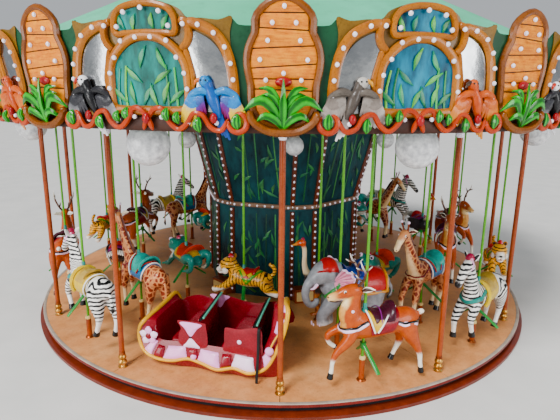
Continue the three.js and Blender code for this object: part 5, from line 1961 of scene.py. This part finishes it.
class MakeDeck(Operator):
    """Turntable disc, twelve floor sheets and a sleeve for each pole."""
    bl_idname = "carousel.make_deck"
    bl_label = "Deck"

    def execute(self, context):
        """Replaces disc and floor, and stands a sleeve on the deck under each figure."""
        radius = sizes().deck_radius
        piece("deck_disc", deck_disc(radius), stands_for=["deck"])
        piece("deck_sheets", deck_boards(radius), stands_for=["deck_floor"])
        sleeves = []
        for species in SPECIES:
            for row, bay, _, _ in seats_of(species):
                sleeves += in_bay(sleeve(sizes().sleeve_height), bay, ROW_RADII[row])
        piece("pole_sleeves", sleeves)
        return {"FINISHED"}


class MakePosts(Operator):
    """Twelve posts with turned gold feet."""
    bl_idname = "carousel.make_posts"
    bl_label = "Posts"

    def execute(self, context):
        """Replaces each post, one at each edge between two bays."""
        for i in range(BAYS):
            here = repeated(post(sizes().post_radius), on_ride, [i * BAY_ANGLE], POST_CIRCLE)
            piece(f"post_{i + 1}_turned", here, stands_for=[f"post_{i + 1}"])
        return {"FINISHED"}


class MakeTower(Operator):
    """Ribs, waist bars, bulbs, painted leaves and plinths of the centre tower."""
    bl_idname = "carousel.make_tower"
    bl_label = "Tower"

    def execute(self, context):
        """Gives the tower its finish, and adds its trim corner by corner and panel by panel."""
        refinish("tower_drum", "Tower mural")
        refinish("tower_crown", "Tower mural")
        corners = in_all_sixths(*TOWER_CORNERS)
        piece("tower_ribs", repeated(tower_rib(), on_ride, corners, TOWER_RADIUS))
        bars = []
        for first, second in zip(corners, corners[1:] + [corners[0] + TURN]):
            bars += waist_bar(first, second)
        piece("tower_waist", bars)
        piece("tower_leaves", tower_murals())
        centre, half = TOWER_PANELS[0]
        out = TOWER_RADIUS * math.cos(math.radians(half)) + .08
        piece("tower_plinths", repeated(plinth(), on_ride, in_all_sixths(centre), out))
        return {"FINISHED"}


class MakeCeiling(Operator):
    """Ceiling rings with slots for the poles, beams and globe lamps."""
    bl_idname = "carousel.make_ceiling"
    bl_label = "Ceiling"

    def execute(self, context):
        """Replaces the ceiling, and hangs two rings of globes under it."""
        edges = [bay * BAY_ANGLE for bay in range(BAYS)]
        beams = repeated(ceiling_beam(), on_ride, edges, 0.0, CEILING + .01)
        piece("ceiling_panels", ceiling_rings() + beams, stands_for=["ceiling"])
        places, out, height = GLOBES
        globes = repeated(globe(sizes().globe_radius, height), on_ride, in_sixth(0, *places), out)
        place, out, height = SMALL_GLOBES
        globes += repeated(globe(SMALL_GLOBE_RADIUS, height), on_ride, in_all_sixths(place), out)
        piece("ceiling_globes", globes)
        return {"FINISHED"}


class MakeRoof(Operator):
    """Cone roof with shallow seams, and the finial."""
    bl_idname = "carousel.make_roof"
    bl_label = "Roof"

    def execute(self, context):
        """Replaces roof and finial."""
        piece("roof_shell", roof_shell(), stands_for=["roof"])
        piece("finial_turned", finial_top(), stands_for=["finial"])
        return {"FINISHED"}


class MakeFascia(Operator):
    """Shields, arches, mirrors, garland and birds, in sixths of the ring."""
    bl_idname = "carousel.make_fascia"
    bl_label = "Fascia"

    def execute(self, context):
        """Replaces each sixth of the fascia: shields at 0 and 30 degrees, arches between."""
        piece("fascia_drum", fascia_ring())
        for i in range(6):
            shields, arches = in_sixth(i, *SHIELD_PLACES), in_sixth(i, *ARCH_PLACES)
            boards = repeated(side_strip() + shield_board(), on_fascia, shields)
            for kind, azimuth in enumerate(arches):
                boards += repeated(arch_board(kind), on_fascia, [azimuth])
            piece(f"fascia_{i + 1}_boards", boards, stands_for=[f"fascia_{i + 1}"])
            greenery = repeated(leaf_cluster(), on_fascia, shields) + repeated(garland(), on_fascia, arches)
            piece(f"fascia_{i + 1}_garland", greenery)
            flock = []
            for place, colours in BIRDS.items():
                flock += repeated(bird(*colours), on_fascia, in_sixth(i, place))
            piece(f"fascia_{i + 1}_birds", flock)
        return {"FINISHED"}


class MakeChariots(Operator):
    """Two-bench chariots with petals, rolled rim and grip bars."""
    bl_idname = "carousel.make_chariots"
    bl_label = "Chariots"

    def execute(self, context):
        """Replaces both chariots, which are alike."""
        parts = [(TUB, hull())] + chariot_petals() + chariot_seats() + chariot_sides() + chariot_trim()
        for number, bay in enumerate(CHARIOT_BAYS, 1):
            here = in_bay(parts, bay, CHARIOT_ROW)
            piece(f"chariot_{number}_moulded", here, stands_for=[f"chariot_{number}"])
        return {"FINISHED"}


class MakeFigures(Operator):
    """Every animal on its pole."""
    bl_idname = "carousel.make_figures"
    bl_label = "Figures"

    def execute(self, context):
        """Replaces the figures, species by species."""
        for species in SPECIES:
            make_figures(species)
        return {"FINISHED"}


OPERATORS = (MakeStage, MakeBase, MakeDeck, MakePosts, MakeTower, MakeCeiling, MakeRoof, MakeFascia,
             MakeChariots, MakeFigures)


class CarouselPanel(Panel):
    """Lists what the carousel is made of."""
    bl_idname = "VIEW3D_PT_carousel"
    bl_label = "Jungle Carousel"
    bl_space_type = "VIEW_3D"
    bl_region_type = "UI"
    bl_category = "Carousel"

    def draw(self, context):
        """A field for each size and colour, and a button for each group of pieces."""
        for group in (context.scene.carousel_sizes, context.scene.carousel_colours):
            for key in group.__annotations__:
                self.layout.prop(group, key)
        for operator in OPERATORS:
            self.layout.operator(operator.bl_idname)


CLASSES = (CarouselSizes, CarouselColours, *OPERATORS, CarouselPanel)


def register():
    """Adds the classes, and the two groups of properties on the scene."""
    for item in CLASSES:
        bpy.utils.register_class(item)
    bpy.types.Scene.carousel_sizes = PointerProperty(type=CarouselSizes)
    bpy.types.Scene.carousel_colours = PointerProperty(type=CarouselColours)


def unregister():
    """Takes away what register added, in the opposite order."""
    del bpy.types.Scene.carousel_colours
    del bpy.types.Scene.carousel_sizes
    for item in reversed(CLASSES):
        bpy.utils.unregister_class(item)


def main():
    """Makes the finishes and all pieces."""
    register()
    make_finishes(bpy.context.scene.carousel_colours)
    for operator in OPERATORS:
        group, name = operator.bl_idname.split(".")
        getattr(getattr(bpy.ops, group), name)()


if __name__ == "__main__":
    main()
